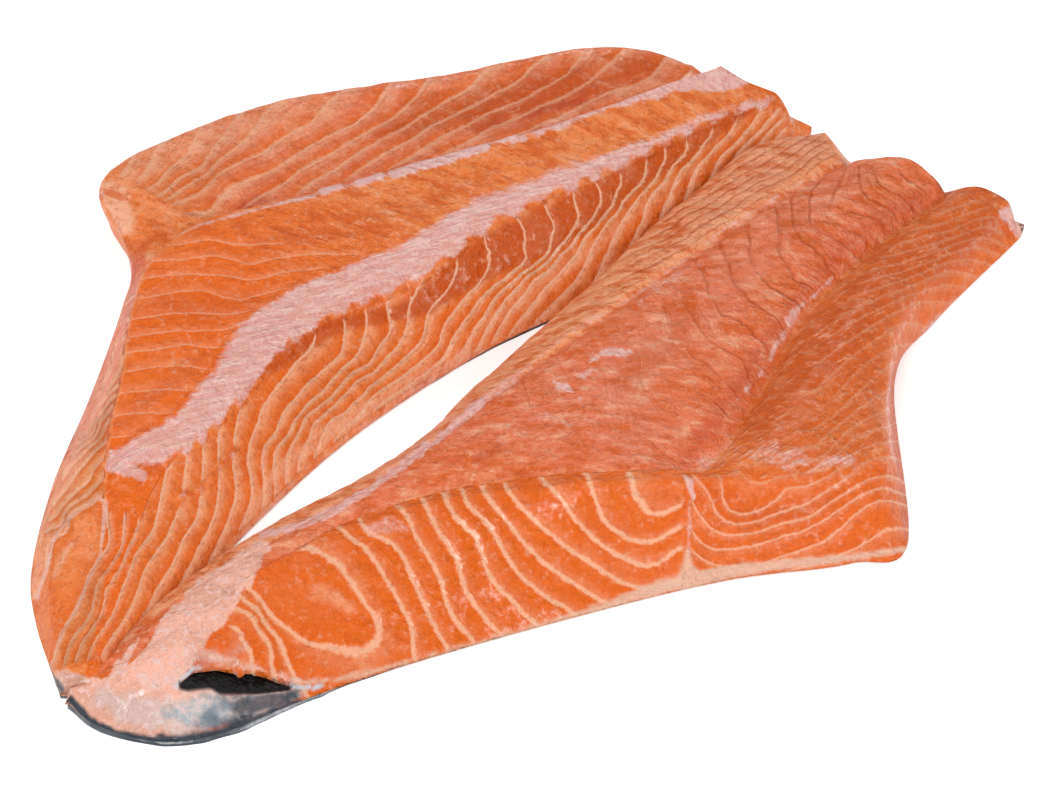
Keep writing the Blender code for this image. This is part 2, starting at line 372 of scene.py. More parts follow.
RIGHT_LINES: dict[str, Knots] = {
    "gap_foot": (
        (0.0, -112, -99, 0), (0.12, -94, -77, 0), (0.26, -68, -49, 0), (0.42, -35, -19, 0),
        (0.56, -13, 11, 0), (0.72, 17, 42, 0), (0.86, 50, 78, 0), (1.0, 83, 106, 0),
    ),
    "roll": (
        (0.0, -112, -99, 3), (0.12, -92, -74, 8), (0.26, -66, -51, 12), (0.42, -32, -23, 12),
        (0.56, -10, 7, 12), (0.72, 16, 41, 13), (0.86, 45, 79, 14), (0.94, 65, 101, 14), (1.0, 82, 108, 12),
    ),
    "seam": (
        (0.0, -112, -99, 4), (0.12, -88, -76, 10), (0.26, -57, -53, 15), (0.42, -28, -30, 19),
        (0.56, -1, 0, 20), (0.72, 31, 34, 20), (0.86, 61, 65, 19), (1.0, 88, 92, 16),
    ),
    "groove": (
        (0.0, -112, -100, 4), (0.12, -83, -84, 12), (0.26, -46, -53, 18), (0.42, -7, -40, 23),
        (0.56, 29, -41, 26), (0.65, 44, -42, 24), (0.74, 58, -14, 22), (0.82, 74, 24, 20),
        (0.9, 91, 51, 17), (1.0, 116, 83, 12),
    ),
    "brow": (
        (0.0, -112, -101, 4), (0.06, -97, -97, 9), (0.12, -80, -81, 13), (0.26, -43, -56, 19),
        (0.42, 5, -49, 25), (0.56, 41, -49, 27), (0.68, 69, -45, 25), (0.76, 90, -33, 20),
        (0.84, 93, -6, 18), (0.92, 101, 31, 17), (1.0, 130, 78, 9),
    ),
    "foot": (
        (0.0, -113, -102, 0), (0.03, -106, -109, 0), (0.07, -92, -114, 0), (0.13, -76, -112, 0),
        (0.2, -58, -102, 0), (0.28, -38, -92, 0), (0.42, 11, -72, 0), (0.56, 52, -58, 0),
        (0.68, 83, -52, 0), (0.76, 97.5, -44.5, 0), (0.84, 98, 17, 0), (0.92, 110, 41, 0),
        (1.0, 135, 75, 0),
    ),
}

LEFT_LINES: dict[str, Knots] = {
    "gap_foot": (
        (0.0, -105, -100, 0), (0.1, -94, -80, 0), (0.2, -82, -58, 0), (0.32, -68, -35, 0),
        (0.46, -46, -5, 0), (0.62, -13, 28, 0), (0.8, 29, 60, 0), (1.0, 79, 117, 0),
    ),
    "edge": (
        (0.0, -107, -100, 6), (0.1, -99, -72, 11), (0.2, -96, -45, 16), (0.3, -85, -25, 20),
        (0.4, -70, -3, 22), (0.5, -55, 18, 23), (0.62, -26, 39, 24), (0.8, 17, 73, 25), (1.0, 71, 117, 21),
    ),
    "ridge": (
        (0.0, -109, -100, 6), (0.1, -106, -72, 11), (0.2, -107, -41, 16), (0.3, -107, -23, 20),
        (0.4, -105, -5, 23), (0.48, -104, 20, 24), (0.56, -99, 41, 25), (0.62, -88, 53, 26),
        (0.72, -53, 66, 27), (0.85, -2, 88, 28), (1.0, 55, 120, 28),
    ),
    "back": (
        (0.0, -113, -100, 5), (0.1, -119, -75, 8), (0.2, -121, -46, 10), (0.3, -117, -21, 10),
        (0.4, -111, 7, 9), (0.5, -108, 40, 8), (0.58, -108, 57, 12), (0.64, -117, 79, 18),
        (0.72, -87, 106, 19), (0.85, -25, 125, 20), (0.95, 29, 138, 20), (1.0, 46, 135, 16),
    ),
    "foot": (
        (0.0, -115, -99, 0), (0.1, -123, -75, 0), (0.2, -126, -54, 0), (0.3, -123, -22, 0),
        (0.4, -116, 11, 0), (0.5, -110, 47, 0), (0.58, -109, 66, 0), (0.64, -116, 87, 0),
        (0.72, -91, 112, 0), (0.85, -28, 132, 0), (0.95, 29, 143, 0), (1.0, 47, 140, 0),
    ),
}

LEFT_FACE = FlakeFamily(
    depth=0.9, line=1.0, shade=1.0, width=0.105, least=0.45,
    marks=(
        (0.5, (66, 560), (72, 545), (60, 577)),
        (1, (100, 498), (68, 519), (54, 539), (45, 569), (36, 597), (107, 521), (100, 558), (84, 590),
         (66, 627), (54, 661)),
        (2, (107, 475), (87, 496), (64, 521), (121, 493), (121, 549), (107, 572), (89, 617), (68, 650)),
        (3, (107, 459), (89, 480), (64, 505), (142, 487), (139, 521), (128, 551), (107, 590), (73, 672)),
        (4, (96, 450), (77, 473), (158, 512), (151, 535), (135, 558), (119, 601), (96, 640), (85, 680)),
        (6, (100, 425), (80, 450), (201, 496), (199, 516), (185, 539), (172, 567), (149, 610)),
        (8, (108, 395), (90, 430), (236, 434), (234, 461), (236, 487), (233, 512), (220, 542)),
        (9, (303, 357), (275, 391), (261, 415), (252, 441), (249, 466), (252, 495)),
        (10, (115, 350), (105, 385), (338, 359), (311, 382), (285, 412), (273, 438), (263, 464)),
        (11, (364, 339), (346, 367), (322, 393), (301, 415), (289, 436), (278, 448)),
        (12, (122, 310), (388, 311), (391, 330), (370, 365), (334, 396), (306, 419), (296, 440)),
        (13, (420, 285), (410, 308), (405, 334), (386, 360), (358, 382), (341, 400), (322, 419),
         (310, 440)),
        (14, (457, 262), (455, 276), (447, 292), (427, 318), (424, 337), (400, 365), (365, 396), (346, 415),
         (332, 422)),
        (15, (486, 240), (489, 256), (488, 270), (478, 287), (450, 318), (440, 344), (405, 377),
         (372, 400)),
        (16, (516, 214), (525, 232), (524, 250), (521, 267), (505, 280), (480, 302), (452, 342),
         (424, 377)),
        (17, (542, 200), (552, 220), (552, 237), (547, 255), (530, 270), (505, 290), (485, 318),
         (468, 345)),
        (18, (572, 191), (575, 207), (575, 227), (567, 240), (550, 260), (530, 275), (508, 300),
         (490, 326)),
        (19, (595, 180), (600, 192), (599, 207), (590, 222), (577, 237), (562, 255), (545, 275), (527, 294),
         (510, 314)),
        (20, (619, 171), (620, 187), (612, 207), (600, 222), (587, 237), (577, 257), (560, 277),
         (540, 298)),
        (21, (645, 152), (647, 167), (640, 185), (622, 205), (607, 225), (595, 245), (587, 265),
         (578, 282)),
        (22, (665, 150), (665, 162), (655, 180), (640, 197), (627, 217), (617, 237), (610, 252)),
        (23, (687, 140), (685, 155), (670, 172), (655, 192), (647, 207), (645, 220)),
        (24, (713, 125), (710, 138), (697, 155), (682, 170), (675, 185), (670, 200)),
        (25, (738, 118), (730, 134), (715, 148), (700, 165), (692, 185)),
        (26, (762, 108), (750, 128), (735, 145), (720, 160), (716, 172)),
        (27, (784, 104), (770, 120), (756, 136), (744, 148)),
        (28, (800, 100), (790, 112), (778, 124), (768, 136)),
    ),
)

SLAB_LINES = FlakeFamily(
    depth=0.3, line=0.5, shade=0.3,
    marks=(
        (1, (112, 417), (145, 413), (170, 415)),
        (2, (110, 396), (141, 391), (185, 391)),
        (3, (124, 372), (157, 367), (209, 370)),
        (4, (136, 352), (188, 344), (223, 346)),
        (5, (140, 336), (188, 331), (245, 323)),
        (6, (152, 316), (223, 314), (270, 305)),
        (7, (155, 295), (200, 290), (242, 299), (300, 285)),
        (8, (167, 275), (204, 274), (240, 278), (290, 270)),
        (9, (186, 259), (216, 256), (252, 264), (300, 255)),
        (10, (210, 240), (260, 243), (310, 240)),
        (12, (230, 222), (280, 220), (340, 215)),
    ),
)

FAR_STRIP = FlakeFamily(
    depth=0.5, line=0.55, shade=0.95, width=0.14, sway=0.25,
    marks=(
        (1, (156, 150), (147, 171), (129, 187)),
        (2, (198, 132), (184, 157), (161, 180)),
        (3, (230, 120), (218, 143), (202, 168), (159, 196)),
        (4, (264, 113), (250, 132), (234, 150), (198, 180), (152, 205)),
        (5, (324, 102), (308, 125), (267, 148), (221, 175), (175, 203)),
        (6, (384, 93), (377, 107), (354, 125), (312, 146), (267, 171), (207, 210)),
        (7, (425, 84), (418, 100), (393, 120), (350, 143), (300, 170)),
        (8, (478, 76), (465, 92), (432, 112), (385, 138)),
        (9, (530, 66), (515, 84), (480, 103), (435, 126)),
        (10, (580, 57), (565, 76), (530, 96), (485, 115)),
        (11, (628, 52), (612, 70), (580, 90), (540, 106)),
        (12, (665, 58), (650, 75), (620, 92), (590, 102)),
    ),
)

FRONT_FACE = FlakeFamily(
    depth=0.3, line=0.9, shade=0.5, width=0.21, least=0.45,
    marks=(
        (0.5, (330, 598), (310, 585), (350, 615)),
        (1, (250, 590), (268, 612), (298, 638), (330, 648), (365, 651), (380, 640), (363, 603), (345, 572),
         (314, 550), (278, 551), (256, 568)),
        (2, (268, 629), (286, 659), (298, 683), (340, 529), (363, 547), (383, 575), (399, 603), (411, 629),
         (414, 652)),
        (3, (253, 619), (268, 644), (274, 675), (370, 534), (396, 547), (414, 583), (432, 624), (444, 644)),
        (4, (220, 624), (245, 644), (253, 670), (406, 514), (419, 542), (437, 573), (457, 624), (474, 644)),
        (5, (432, 520), (450, 550), (465, 590), (488, 624), (503, 639)),
        (6, (447, 501), (475, 537), (488, 573), (508, 598), (536, 626)),
        (7, (470, 508), (500, 545), (521, 578), (575, 616)),
        (8, (492, 503), (526, 545), (562, 578), (597, 601)),
        (9, (512, 496), (535, 522), (560, 543), (590, 564), (618, 583)),
        (10, (554, 491), (572, 514), (597, 542), (625, 560), (650, 567), (678, 551)),
        (11, (592, 488), (604, 520), (632, 541), (657, 541), (682, 528)),
        (12, (632, 482), (642, 505), (660, 515), (682, 505)),
    ),
)

MOUND = FlakeFamily(
    depth=0.2, line=0.7, shade=0.5, width=0.115, waver=0.06, sway=0.12,
    marks=(
        (0.4, (745, 496)),
        (1, (722, 479), (724, 498), (730, 510), (745, 514), (760, 510), (777, 500), (787, 489)),
        (2, (712, 498), (718, 513), (730, 523), (747, 523), (768, 517), (790, 510), (810, 502), (832, 487),
         (866, 462), (878, 458), (892, 458), (902, 464)),
        (3, (699, 513), (710, 527), (726, 535), (752, 534), (781, 525), (810, 517), (829, 504), (844, 494),
         (860, 484), (874, 478), (888, 476), (900, 480), (907, 488)),
        (4, (692, 530), (700, 542), (712, 549), (735, 550), (760, 545), (785, 537), (813, 526), (835, 513),
         (858, 496), (885, 489), (907, 498)),
        (5, (693, 552), (712, 565), (743, 569), (768, 565), (794, 555), (821, 544), (842, 527), (861, 510),
         (874, 503), (900, 504), (910, 510)),
        (6, (790, 573), (840, 556), (856, 548), (870, 540), (886, 532), (900, 530)),
        (1, (866, 448), (886, 443), (900, 444)),
        (0, (844, 448), (858, 436), (872, 430), (886, 428), (900, 424)),
        (-1, (828, 452), (840, 440), (856, 426), (870, 418), (886, 410), (900, 404)),
        (-2, (814, 446), (828, 434), (840, 424), (856, 411), (870, 400), (884, 391), (899, 386)),
        (-3, (832, 418), (852, 398), (866, 384), (880, 372), (894, 362)),
        (-4, (860, 368), (885, 352), (900, 347)),
        (-5, (868, 345), (895, 328), (925, 330)),
        (-6, (880, 322), (915, 304), (945, 303)),
        (-8, (905, 290), (945, 273), (968, 276)),
        (-10, (930, 262), (965, 250), (990, 253)),
        (-12, (955, 238), (985, 228), (1005, 235)),
        (-14, (975, 212), (1000, 208), (1018, 216)),
    ),
)

PLANE_CRACKS = FlakeFamily(
    depth=0.16, dark=0.75, waver=0.14, width=0.12, sway=0.8,
    marks=(
        (0, (420, 462), (440, 480)),
        (1, (445, 445), (470, 478)),
        (2, (470, 425), (502, 476)),
        (4, (520, 385), (560, 450), (585, 480)),
        (6, (565, 350), (600, 410), (650, 468)),
        (8, (610, 318), (640, 370), (690, 430)),
        (10, (655, 285), (680, 330), (722, 385)),
        (12, (700, 250), (715, 290), (755, 335)),
        (14, (745, 218), (750, 255), (790, 295)),
        (16, (790, 185), (790, 220), (830, 260)),
        (18, (835, 165), (835, 195), (870, 225)),
        (20, (870, 160), (880, 185), (910, 205)),
    ),
)

ROLL_LINES = FlakeFamily(
    depth=0.12, dark=0.55, shade=0.85, width=0.1, waver=0.16, sway=0.8,
    marks=(
        (0, (300, 486), (385, 440), (470, 395), (560, 347), (650, 299)),
        (4, (500, 343), (560, 311), (650, 263), (740, 212), (840, 158)),
        (8, (560, 275), (650, 227), (740, 174), (800, 140)),
        (12, (650, 191), (740, 139)),
    ),
)

BAND = strokes(
    ((20, 4, 0.95), (120, 458, 18), (150, 450, 30), (190, 428, 34), (225, 388, 40), (260, 342, 50),
     (300, 309, 42), (335, 294, 42), (370, 278, 40), (405, 265, 38), (440, 242, 36), (470, 220, 32),
     (500, 204, 26), (550, 184, 20), (600, 166, 16), (650, 145, 10), (700, 122, 8), (764, 101, 6)),
    ((8, 4, 0.9), (112, 452, 8), (112, 464, 14), (140, 476, 12)),
    ((14, 5, 0.35), (178, 500, 6), (205, 488, 8), (235, 450, 4)),
)
RIDGE_FAT = strokes(
    ((4, 1.5, 0.6), (152, 246, 3), (200, 225, 3), (265, 207, 4), (330, 190, 5), (400, 172, 5)),
    ((10, 5, 0.9), (512, 141, 3), (560, 122, 8), (600, 104, 14), (640, 90, 20), (680, 80, 26),
     (720, 76, 32), (752, 84, 26)),
)
RIDGE_BLOBS = strokes(
    ((3, 0.8, 1.0), (322, 193, 6), (340, 188, 6)),
    ((3, 0.8, 1.0), (359, 183, 8), (381, 177, 8)),
    ((3, 0.8, 1.0), (394, 174, 11), (414, 169, 10)),
    ((3, 0.8, 1.0), (423, 166, 11), (447, 160, 12)),
    ((3, 0.8, 1.0), (452, 156, 11), (485, 147, 11)),
    ((3, 0.8, 1.0), (489, 142, 7), (515, 137, 6)),
)
# Deep orange flesh, and one stroke of painted shade down the mound's right-facing edge.
DEEP_ORANGE_AND_SHADE = strokes(
    ((10, 4, 1.0), (262, 372, 12), (290, 354, 20), (318, 336, 20), (345, 322, 14), (372, 318, 14),
     (405, 312, 20), (440, 292, 30), (470, 268, 36), (490, 256, 42), (520, 246, 48), (550, 230, 46),
     (577, 214, 42), (600, 200, 36), (625, 184, 32), (650, 168, 28), (672, 156, 26), (700, 138, 20),
     (745, 112, 12)),
    ((16, 6, 0.5), (120, 425, 10), (150, 400, 16), (200, 360, 10)),
    ((20, 8, 0.45), (160, 300, 20), (200, 310, 26), (250, 300, 14)),
    ((16, 9, 0.5), (260, 245, 10), (340, 228, 14), (420, 205, 12), (500, 170, 8)),
    ((8, 3, 0.9), (109, 655, 6), (122, 645, 14), (145, 630, 10)),
    ((5, 2, 0.8), (400, 106, 6), (430, 98, 8), (458, 88, 3)),
    ((5, 2, 0.9), (470, 100, 4), (490, 93, 9), (514, 80, 4)),
    ((5, 2, 0.8), (545, 84, 3), (570, 76, 7), (595, 68, 3)),
    ((26, 8, 1.0), (380, 134, 10), (480, 108, 34), (560, 86, 38), (650, 66, 24)),
    ((5, 2, 0.7), (606, 80, 3), (620, 74, 6), (636, 68, 3)),
    ((40, 10, 0.95), (760, 420, 50), (800, 370, 60), (850, 320, 70), (900, 270, 60), (985, 225, 40)),
    # Darker down the mound's right-facing edge: painted shade.
    ((8, 3, 0.9), (900, 365, 10), (893, 400, 14), (900, 450, 16), (908, 500, 14), (908, 545, 12)),
    ((22, 8, 0.5), (640, 372, 20), (672, 335, 26), (690, 300, 16)),
    ((30, 8, 0.5), (715, 490, 20), (760, 520, 30), (830, 500, 24)),
)
LIGHT = strokes(
    ((6, 2.5, 0.55), (250, 520, 6), (275, 476, 12), (300, 455, 14), (330, 434, 16), (360, 415, 14),
     (400, 392, 12), (440, 372, 10), (470, 352, 6)),
    ((9, 3, 0.35), (480, 332, 8), (520, 302, 14), (560, 272, 16), (600, 244, 14), (650, 200, 10),
     (700, 165, 8)),
    ((12, 4, 0.5), (316, 590, 8), (336, 600, 12), (350, 612, 8)),
    ((8, 2, 0.6), (71, 545, 5), (60, 562, 9), (53, 577, 5)),
    ((3, 1, 0.6), (450, 476, 2), (447, 487, 2), (449, 498, 2)),
    ((3, 1, 0.6), (468, 451, 2), (474, 457, 2), (477, 465, 2), (471, 484, 2)),
    ((10, 3, 0.95), (98, 190, 18), (116, 196, 26), (126, 226, 16)),
    ((30, 8, 0.5), (130, 175, 20), (190, 145, 30), (260, 122, 26), (330, 104, 12)),
)
SEAM_FAT = strokes(
    ((5, 3, 0.75), (262, 536, 8), (300, 527, 10), (345, 505, 9), (400, 468, 9), (440, 438, 8),
     (480, 402, 8)),
    ((4, 2, 0.5), (480, 402, 8), (560, 338, 4), (640, 288, 4), (720, 230, 3), (800, 181, 3), (845, 157, 3)),
)
PLANE_FAT = strokes(
    ((6, 7, 0.85), (596, 352, 5), (612, 353, 8), (632, 352, 3)),
    ((6, 7, 0.6), (582, 362, 3), (598, 356, 6)),
    ((6, 7, 0.75), (578, 374, 7), (594, 368, 7), (600, 376, 4)),
    ((6, 7, 0.8), (554, 381, 5), (566, 388, 8), (580, 397, 4)),
    ((7, 7, 0.4), (530, 420, 4), (552, 416, 6), (570, 424, 3)),
    ((14, 7, 0.5), (640, 300, 12), (665, 282, 14), (690, 268, 8)),
    ((8, 6, 0.35), (620, 320, 5), (660, 300, 8), (700, 262, 6)),
    ((5, 4, 0.35), (505, 430, 3), (530, 405, 3), (545, 395, 4)),
)
GROOVE_FAT = strokes(
    ((6, 5, 0.6), (738, 398, 1), (761, 370, 3), (780, 338, 3), (791, 319, 9), (800, 305, 7), (823, 285, 3),
     (850, 257, 2), (889, 227, 2)),
    ((6, 4, 0.8), (684, 476, 6), (690, 482, 12), (694, 500, 4)),
    ((6, 2, 0.6), (690, 500, 3), (689, 530, 4), (688, 556, 5)),
)
BROW_PALE = strokes(
    ((18, 10, 0.45), (700, 462, 12), (730, 450, 26), (775, 454, 24), (815, 464, 14), (850, 462, 8)),
    ((8, 6, 0.55), (368, 530, 12), (388, 526, 20), (404, 530, 12)),
)
BELLY_FAT = strokes(
    ((4, 2, 0.85), (560, 622, 5), (610, 607, 8), (648, 594, 14), (690, 582, 16), (740, 572, 12),
     (820, 563, 9), (870, 557, 7), (904, 552, 5)),
    ((5, 2, 0.8), (687, 553, 3), (688, 566, 10), (690, 582, 30)),
    ((4, 2, 0.8), (301, 685, 3), (344, 681, 4), (398, 668, 4), (452, 653, 4), (506, 638, 4), (560, 623, 5)),
)
TAIL_MEMBRANE = strokes(
    ((10, 6, 1.0), (262, 548, 12), (240, 572, 32), (212, 600, 42), (186, 630, 50), (160, 660, 58),
     (138, 688, 58), (118, 706, 50)),
    ((8, 3, 1.0), (66, 682, 22), (88, 702, 44), (115, 712, 56), (150, 714, 58), (195, 710, 50),
     (215, 706, 34)),
    ((12, 4, 0.7), (192, 655, 14), (225, 662, 12), (262, 672, 8), (300, 682, 6)),
)
TORN_EDGE = strokes(
    ((2, 0.8, 1.0), (176, 688, 3), (182, 682, 3), (193, 672, 3.5), (217, 669, 3.5), (234, 673, 3.5),
     (239, 678, 3), (246, 673, 3.5), (263, 676, 3.5), (278, 682, 3.5), (294, 689, 3.5), (312, 690, 3),
     (330, 688, 2)),
)
GREY_FILM = strokes(
    ((14, 9, 0.32), (104, 700, 18), (140, 716, 32), (182, 718, 36), (222, 712, 24)),
    ((12, 8, 0.18), (150, 690, 10), (200, 668, 12), (240, 650, 8)),
)
SILVER = strokes(
    ((10, 4, 1.0), (168, 716, 10), (200, 714, 34), (235, 711, 36), (268, 704, 28), (296, 697, 14)),
)
DARK_SKIN = strokes(
    ((5, 2.5, 1.0), (46, 668, 3), (62, 692, 5), (80, 712, 8), (95, 728, 11), (115, 739, 13), (150, 744, 13),
     (180, 742, 12), (215, 737, 12), (250, 727, 13), (275, 717, 12), (298, 706, 9)),
    ((7, 4, 0.85), (212, 708, 5), (240, 708, 14), (268, 705, 16), (292, 698, 10)),
)
SLOT_UPPER = (
    (176, 688), (182, 684), (193, 675), (217, 672), (234, 676), (239, 681), (246, 676), (263, 679),
    (278, 685), (294, 691),
)
SLOT_LOWER = (
    (176, 688), (188, 690), (211, 688), (220, 694), (252, 695), (281, 693), (294, 691),
)
ORANGE_RIM = strokes(
    ((5, 2, 1.0), (284, 533, 6), (245, 536, 12), (215, 552, 14), (180, 586, 14), (155, 618, 14),
     (144, 645, 10), (128, 665, 4)),
)
BLOOD = strokes(
    ((12, 5, 0.9), (238, 208, 8), (255, 200, 12), (268, 196, 5)),
    ((14, 6, 0.45), (225, 225, 6), (300, 205, 8), (380, 178, 6)),
    ((5, 2, 0.85), (476, 130, 4), (492, 123, 6), (508, 116, 4)),
    ((5, 2, 0.8), (516, 120, 4), (535, 113, 6), (553, 106, 4)),
    ((5, 2, 0.75), (547, 108, 4), (575, 102, 6), (607, 96, 4)),
    ((16, 6, 0.35), (490, 130, 6), (540, 112, 8), (600, 92, 8), (660, 74, 6)),
    ((16, 6, 0.55), (684, 462, 10), (720, 412, 12), (755, 358, 8), (795, 298, 8), (842, 250, 8),
     (890, 212, 12), (920, 196, 10)),
    ((10, 6, 0.4), (480, 462, 8), (500, 445, 8)),
    ((5, 2, 0.6), (216, 608, 5), (206, 618, 5), (204, 632, 5)),
    ((8, 4, 0.5), (150, 240, 6), (136, 262, 10), (130, 300, 8), (128, 340, 4)),
)
LENS_RING = strokes(
    ((3, 1, 0.9), (36, 600, 3), (45, 570, 3), (54, 540, 3), (68, 520, 3), (84, 508, 4), (98, 497, 4),
     (105, 503, 5), (104, 524, 4), (100, 557, 3), (85, 592, 3), (66, 627, 3), (56, 655, 3)),
    ((6, 2, 0.8), (71, 545, 3), (62, 560, 6), (55, 576, 3)),
)
PALE_TIP = strokes(
    ((8, 4, 0.85), (1005, 215, 12), (1018, 226, 22), (1020, 240, 10)),
    ((8, 4, 0.5), (905, 356, 6), (925, 335, 10), (955, 300, 6)),
    ((7, 3, 0.45), (99, 188, 6), (109, 208, 8), (122, 234, 7)),
)

# Picture x from which to which a family fades in at the upright seam between the two.
UPRIGHT_SEAM = {FRONT_FACE: (698.0, 684.0), MOUND: (680.0, 694.0)}


def closed_tube(name: str, loops: np.ndarray, values: dict[str, np.ndarray]) -> bpy.types.Object:
    """Joins loops into quads, closes both ends and stores fields on the points.

    Args:
        name: the object's name.
        loops: loops by points by 3, in plan millimetres.
        values: fields on the same grid.

    Returns:
        The object, at the origin.
    """
    count, around = loops.shape[:2]
    index = np.arange(count * around).reshape(count, around)
    after = np.roll(index, -1, axis=1)
    quads = np.stack([index[:-1], after[:-1], after[1:], index[1:]], axis=-1).reshape(-1, 4)
    faces = quads.tolist() + [index[0][::-1].tolist(), index[-1].tolist()]
    data = bpy.data.meshes.new(name)
    data.from_pydata(((loops.reshape(-1, 3) - PLAN_CENTRE) * MM).tolist(), [], faces)
    for key, value in values.items():
        layer = data.attributes.new(key, "FLOAT", "POINT")
        layer.data.foreach_set("value", value.reshape(-1).astype(np.float32))
    data.shade_smooth()
    data.update()
    piece = bpy.data.objects.new(name, data)
    bpy.context.scene.collection.objects.link(piece)
    return piece


@dataclass
class Fillet:
    """One fillet: a top surface through feature lines, a flat underside and two ends.

    Station runs from 0 at the tail to 1. Place is 0 at the gap foot and whole on each line after it.
    """

    name: str
    lines: dict[str, Knots]
    between: tuple[tuple[int, str, str, float, Knots], ...]
    reach: tuple[float, ...]
    roundness: tuple[float, ...]
    strips: tuple[int, ...]
    families: tuple[tuple[FlakeFamily, tuple[Area, ...]], ...]
    rows: int = 520
    under_columns: int = 10
    end_rings: tuple[float, ...] = (0.06, 0.16, 0.32, 0.52, 0.74, 0.93)
    reach_from: float = 0.92
    grid: np.ndarray = field(init=False, repr=False)
    feet: np.ndarray = field(init=False, repr=False)
    hollow: np.ndarray = field(init=False, repr=False)
    station: np.ndarray = field(init=False, repr=False)
    place: np.ndarray = field(init=False, repr=False)
    at: np.ndarray = field(init=False, repr=False)
    fields: dict[str, np.ndarray] = field(init=False, repr=False, default_factory=dict)

    def top_surface(self) -> None:
        """Works out the smooth top surface on a grid of stations by places across.

        Each line is a smooth curve along the fillet. Lines between two others lie part of the way
        and are lifted. Across each rib a cubic joins the lines, with tangents that lean to the nearer
        neighbour and are shortened where the edge is crisp.
        """
        stations = np.linspace(0.0, 1.0, self.rows)
        named = {key: through_knots(knots, stations) for key, knots in self.lines.items()}
        order = list(named)
        for index, first, second, share, lifts in self.between:
            line = named[first] * (1 - share) + named[second] * share
            line[:, 2] += through_knots(lifts, stations)[:, 0]
            key = f"{first}_{second}"
            named[key] = line
            order.insert(index, key)
        lines = np.stack([named[key] for key in order], axis=1)
        towards = lines[-1] - lines[-1 - self.rows // 16]
        towards[:, 2] = 0.0
        weight = smooth_step(stations, self.reach_from, 1.0)[:, None, None]
        lines = lines + weight * unit(towards)[None] * np.array(self.reach)[None, :, None]
        steps = [np.linspace(k, k + 1, count, endpoint=False) for k, count in enumerate(self.strips)]
        places = np.concatenate([*steps, [len(self.strips)]])
        self.station, self.place = np.meshgrid(stations, places, indexing="ij")
        self.grid = self.across(lines, self.place)
        self.place = self.fit_columns(self.place, CAMERA.picture_points(self.grid))
        self.grid = self.across(lines, self.place)
        self.at = CAMERA.picture_points(self.grid)

    def fit_columns(self, places: np.ndarray, at: np.ndarray) -> np.ndarray:
        """Moves columns of the grid onto an edge that the picture shows. A plain fillet has none.

        Args:
            places: where each column is on each rib.
            at: the picture points there.

        Returns:
            The places, moved.
        """
        return places

    def across(self, lines: np.ndarray, places: np.ndarray) -> np.ndarray:
        """Ribs through the lines.

        Args:
            lines: stations by lines by 3.
            places: where to read each rib, stations by columns; a whole number is a line.

        Returns:
            Stations by places by 3.
        """
        chord = np.diff(lines, axis=1)
        length = np.linalg.norm(chord, axis=2, keepdims=True) + 1e-6
        way = chord / length
        tangent = np.empty_like(lines)
        tangent[:, 0], tangent[:, -1] = way[:, 0], way[:, -1]
        tangent[:, 1:-1] = (way[:, :-1] * length[:, 1:] + way[:, 1:] * length[:, :-1]) / (
            length[:, 1:] + length[:, :-1]
        )
        tangent *= np.array(self.roundness)[None, :, None]
        low = np.clip(np.floor(places).astype(int), 0, lines.shape[1] - 2)
        part = (places - low)[..., None]
        rib = np.arange(len(lines))[:, None]
        leave, arrive = (tangent[rib, low + k] * length[rib, low] for k in (0, 1))
        return hermite(lines[rib, low], lines[rib, low + 1], leave, arrive, part)

    def normals(self) -> np.ndarray:
        """Unit normals of the top surface that point out: the cross product of its two grid directions."""
        normal = np.cross(np.gradient(self.grid, axis=1), np.gradient(self.grid, axis=0))
        return unit(normal * np.sign(normal[..., 2].mean()))

    def flakes(self) -> np.ndarray:
        """Numbers every place by the last flake family that covers it, and gives the flakes' relief.

        Across a flake, from one whole number to the next, the height steps up and then falls away.
        Lines and relief fade out where one family gives way to another, and on sides that the picture
        doesn't show, because the marks say nothing there.

        Returns:
            The relief in millimetres.
        """
        flat = self.at.reshape(-1, 2)
        shape = self.station.shape
        number = np.zeros(shape)
        relief = np.zeros(shape)
        keys = ("line", "dark", "shade", "width")
        strength = {key: np.zeros(shape) for key in keys}
        wobble = rough_noise(self.at[..., 0], self.at[..., 1], 14.0, 31)
        drift = rough_noise(self.at[..., 0], self.at[..., 1], 55.0, 33, octaves=2)
        for index, (family, areas) in enumerate(self.families):
            cover = self.family_cover(family, areas)
            own = family.number(flat).reshape(shape)
            spacing = np.clip(USUAL_SPACING * self.steepness(own), *SPACING_LIMITS)
            own = np.maximum(own + family.waver * wobble + family.sway * drift, family.least)
            taken = cover > 0.5
            share = np.clip(2.0 * np.abs(2 * cover - 1) - 1.0, 0.0, 1.0)
            calm = share if index == 0 else np.where(taken, share, calm * share)
            number = np.where(taken | (index == 0), own, number)
            for key in keys:
                scale = spacing if key == "width" else 1.0
                strength[key] = np.where(taken, share * getattr(family, key) * scale, strength[key] * share)
            part = own - np.floor(own)
            saw = smooth_step(part, 0.0, FLAKE_RISE) * (1.0 - FLAKE_FALL * part)
            relief = np.where(taken, share * family.depth * (saw - 0.5), relief * share)
        towards = unit(CAMERA.place - self.grid)
        seen = smooth_step(np.sum(self.normals() * towards, axis=2), *SEEN_FROM)
        self.fields["flake"] = number
        self.fields["grain_flake"] = self.fields["grain_flake"] * calm * seen
        for key, value in strength.items():
            self.fields[f"flake_{key}"] = value * seen
        return relief * seen

    def steepness(self, number: np.ndarray) -> np.ndarray:
        """How fast a number changes in the picture, in ones a pixel.

        Args:
            number: the number over the grid.

        Returns:
            Its slope over the grid.
        """
        along, across = np.gradient(number)
        x_along, x_across = np.gradient(self.at[..., 0])
        y_along, y_across = np.gradient(self.at[..., 1])
        area = x_along * y_across - x_across * y_along
        area = np.where(np.abs(area) < SMALLEST_AREA, SMALLEST_AREA, area)
        in_x = (along * y_across - across * y_along) / area
        in_y = (across * x_along - along * x_across) / area
        return np.hypot(in_x, in_y)

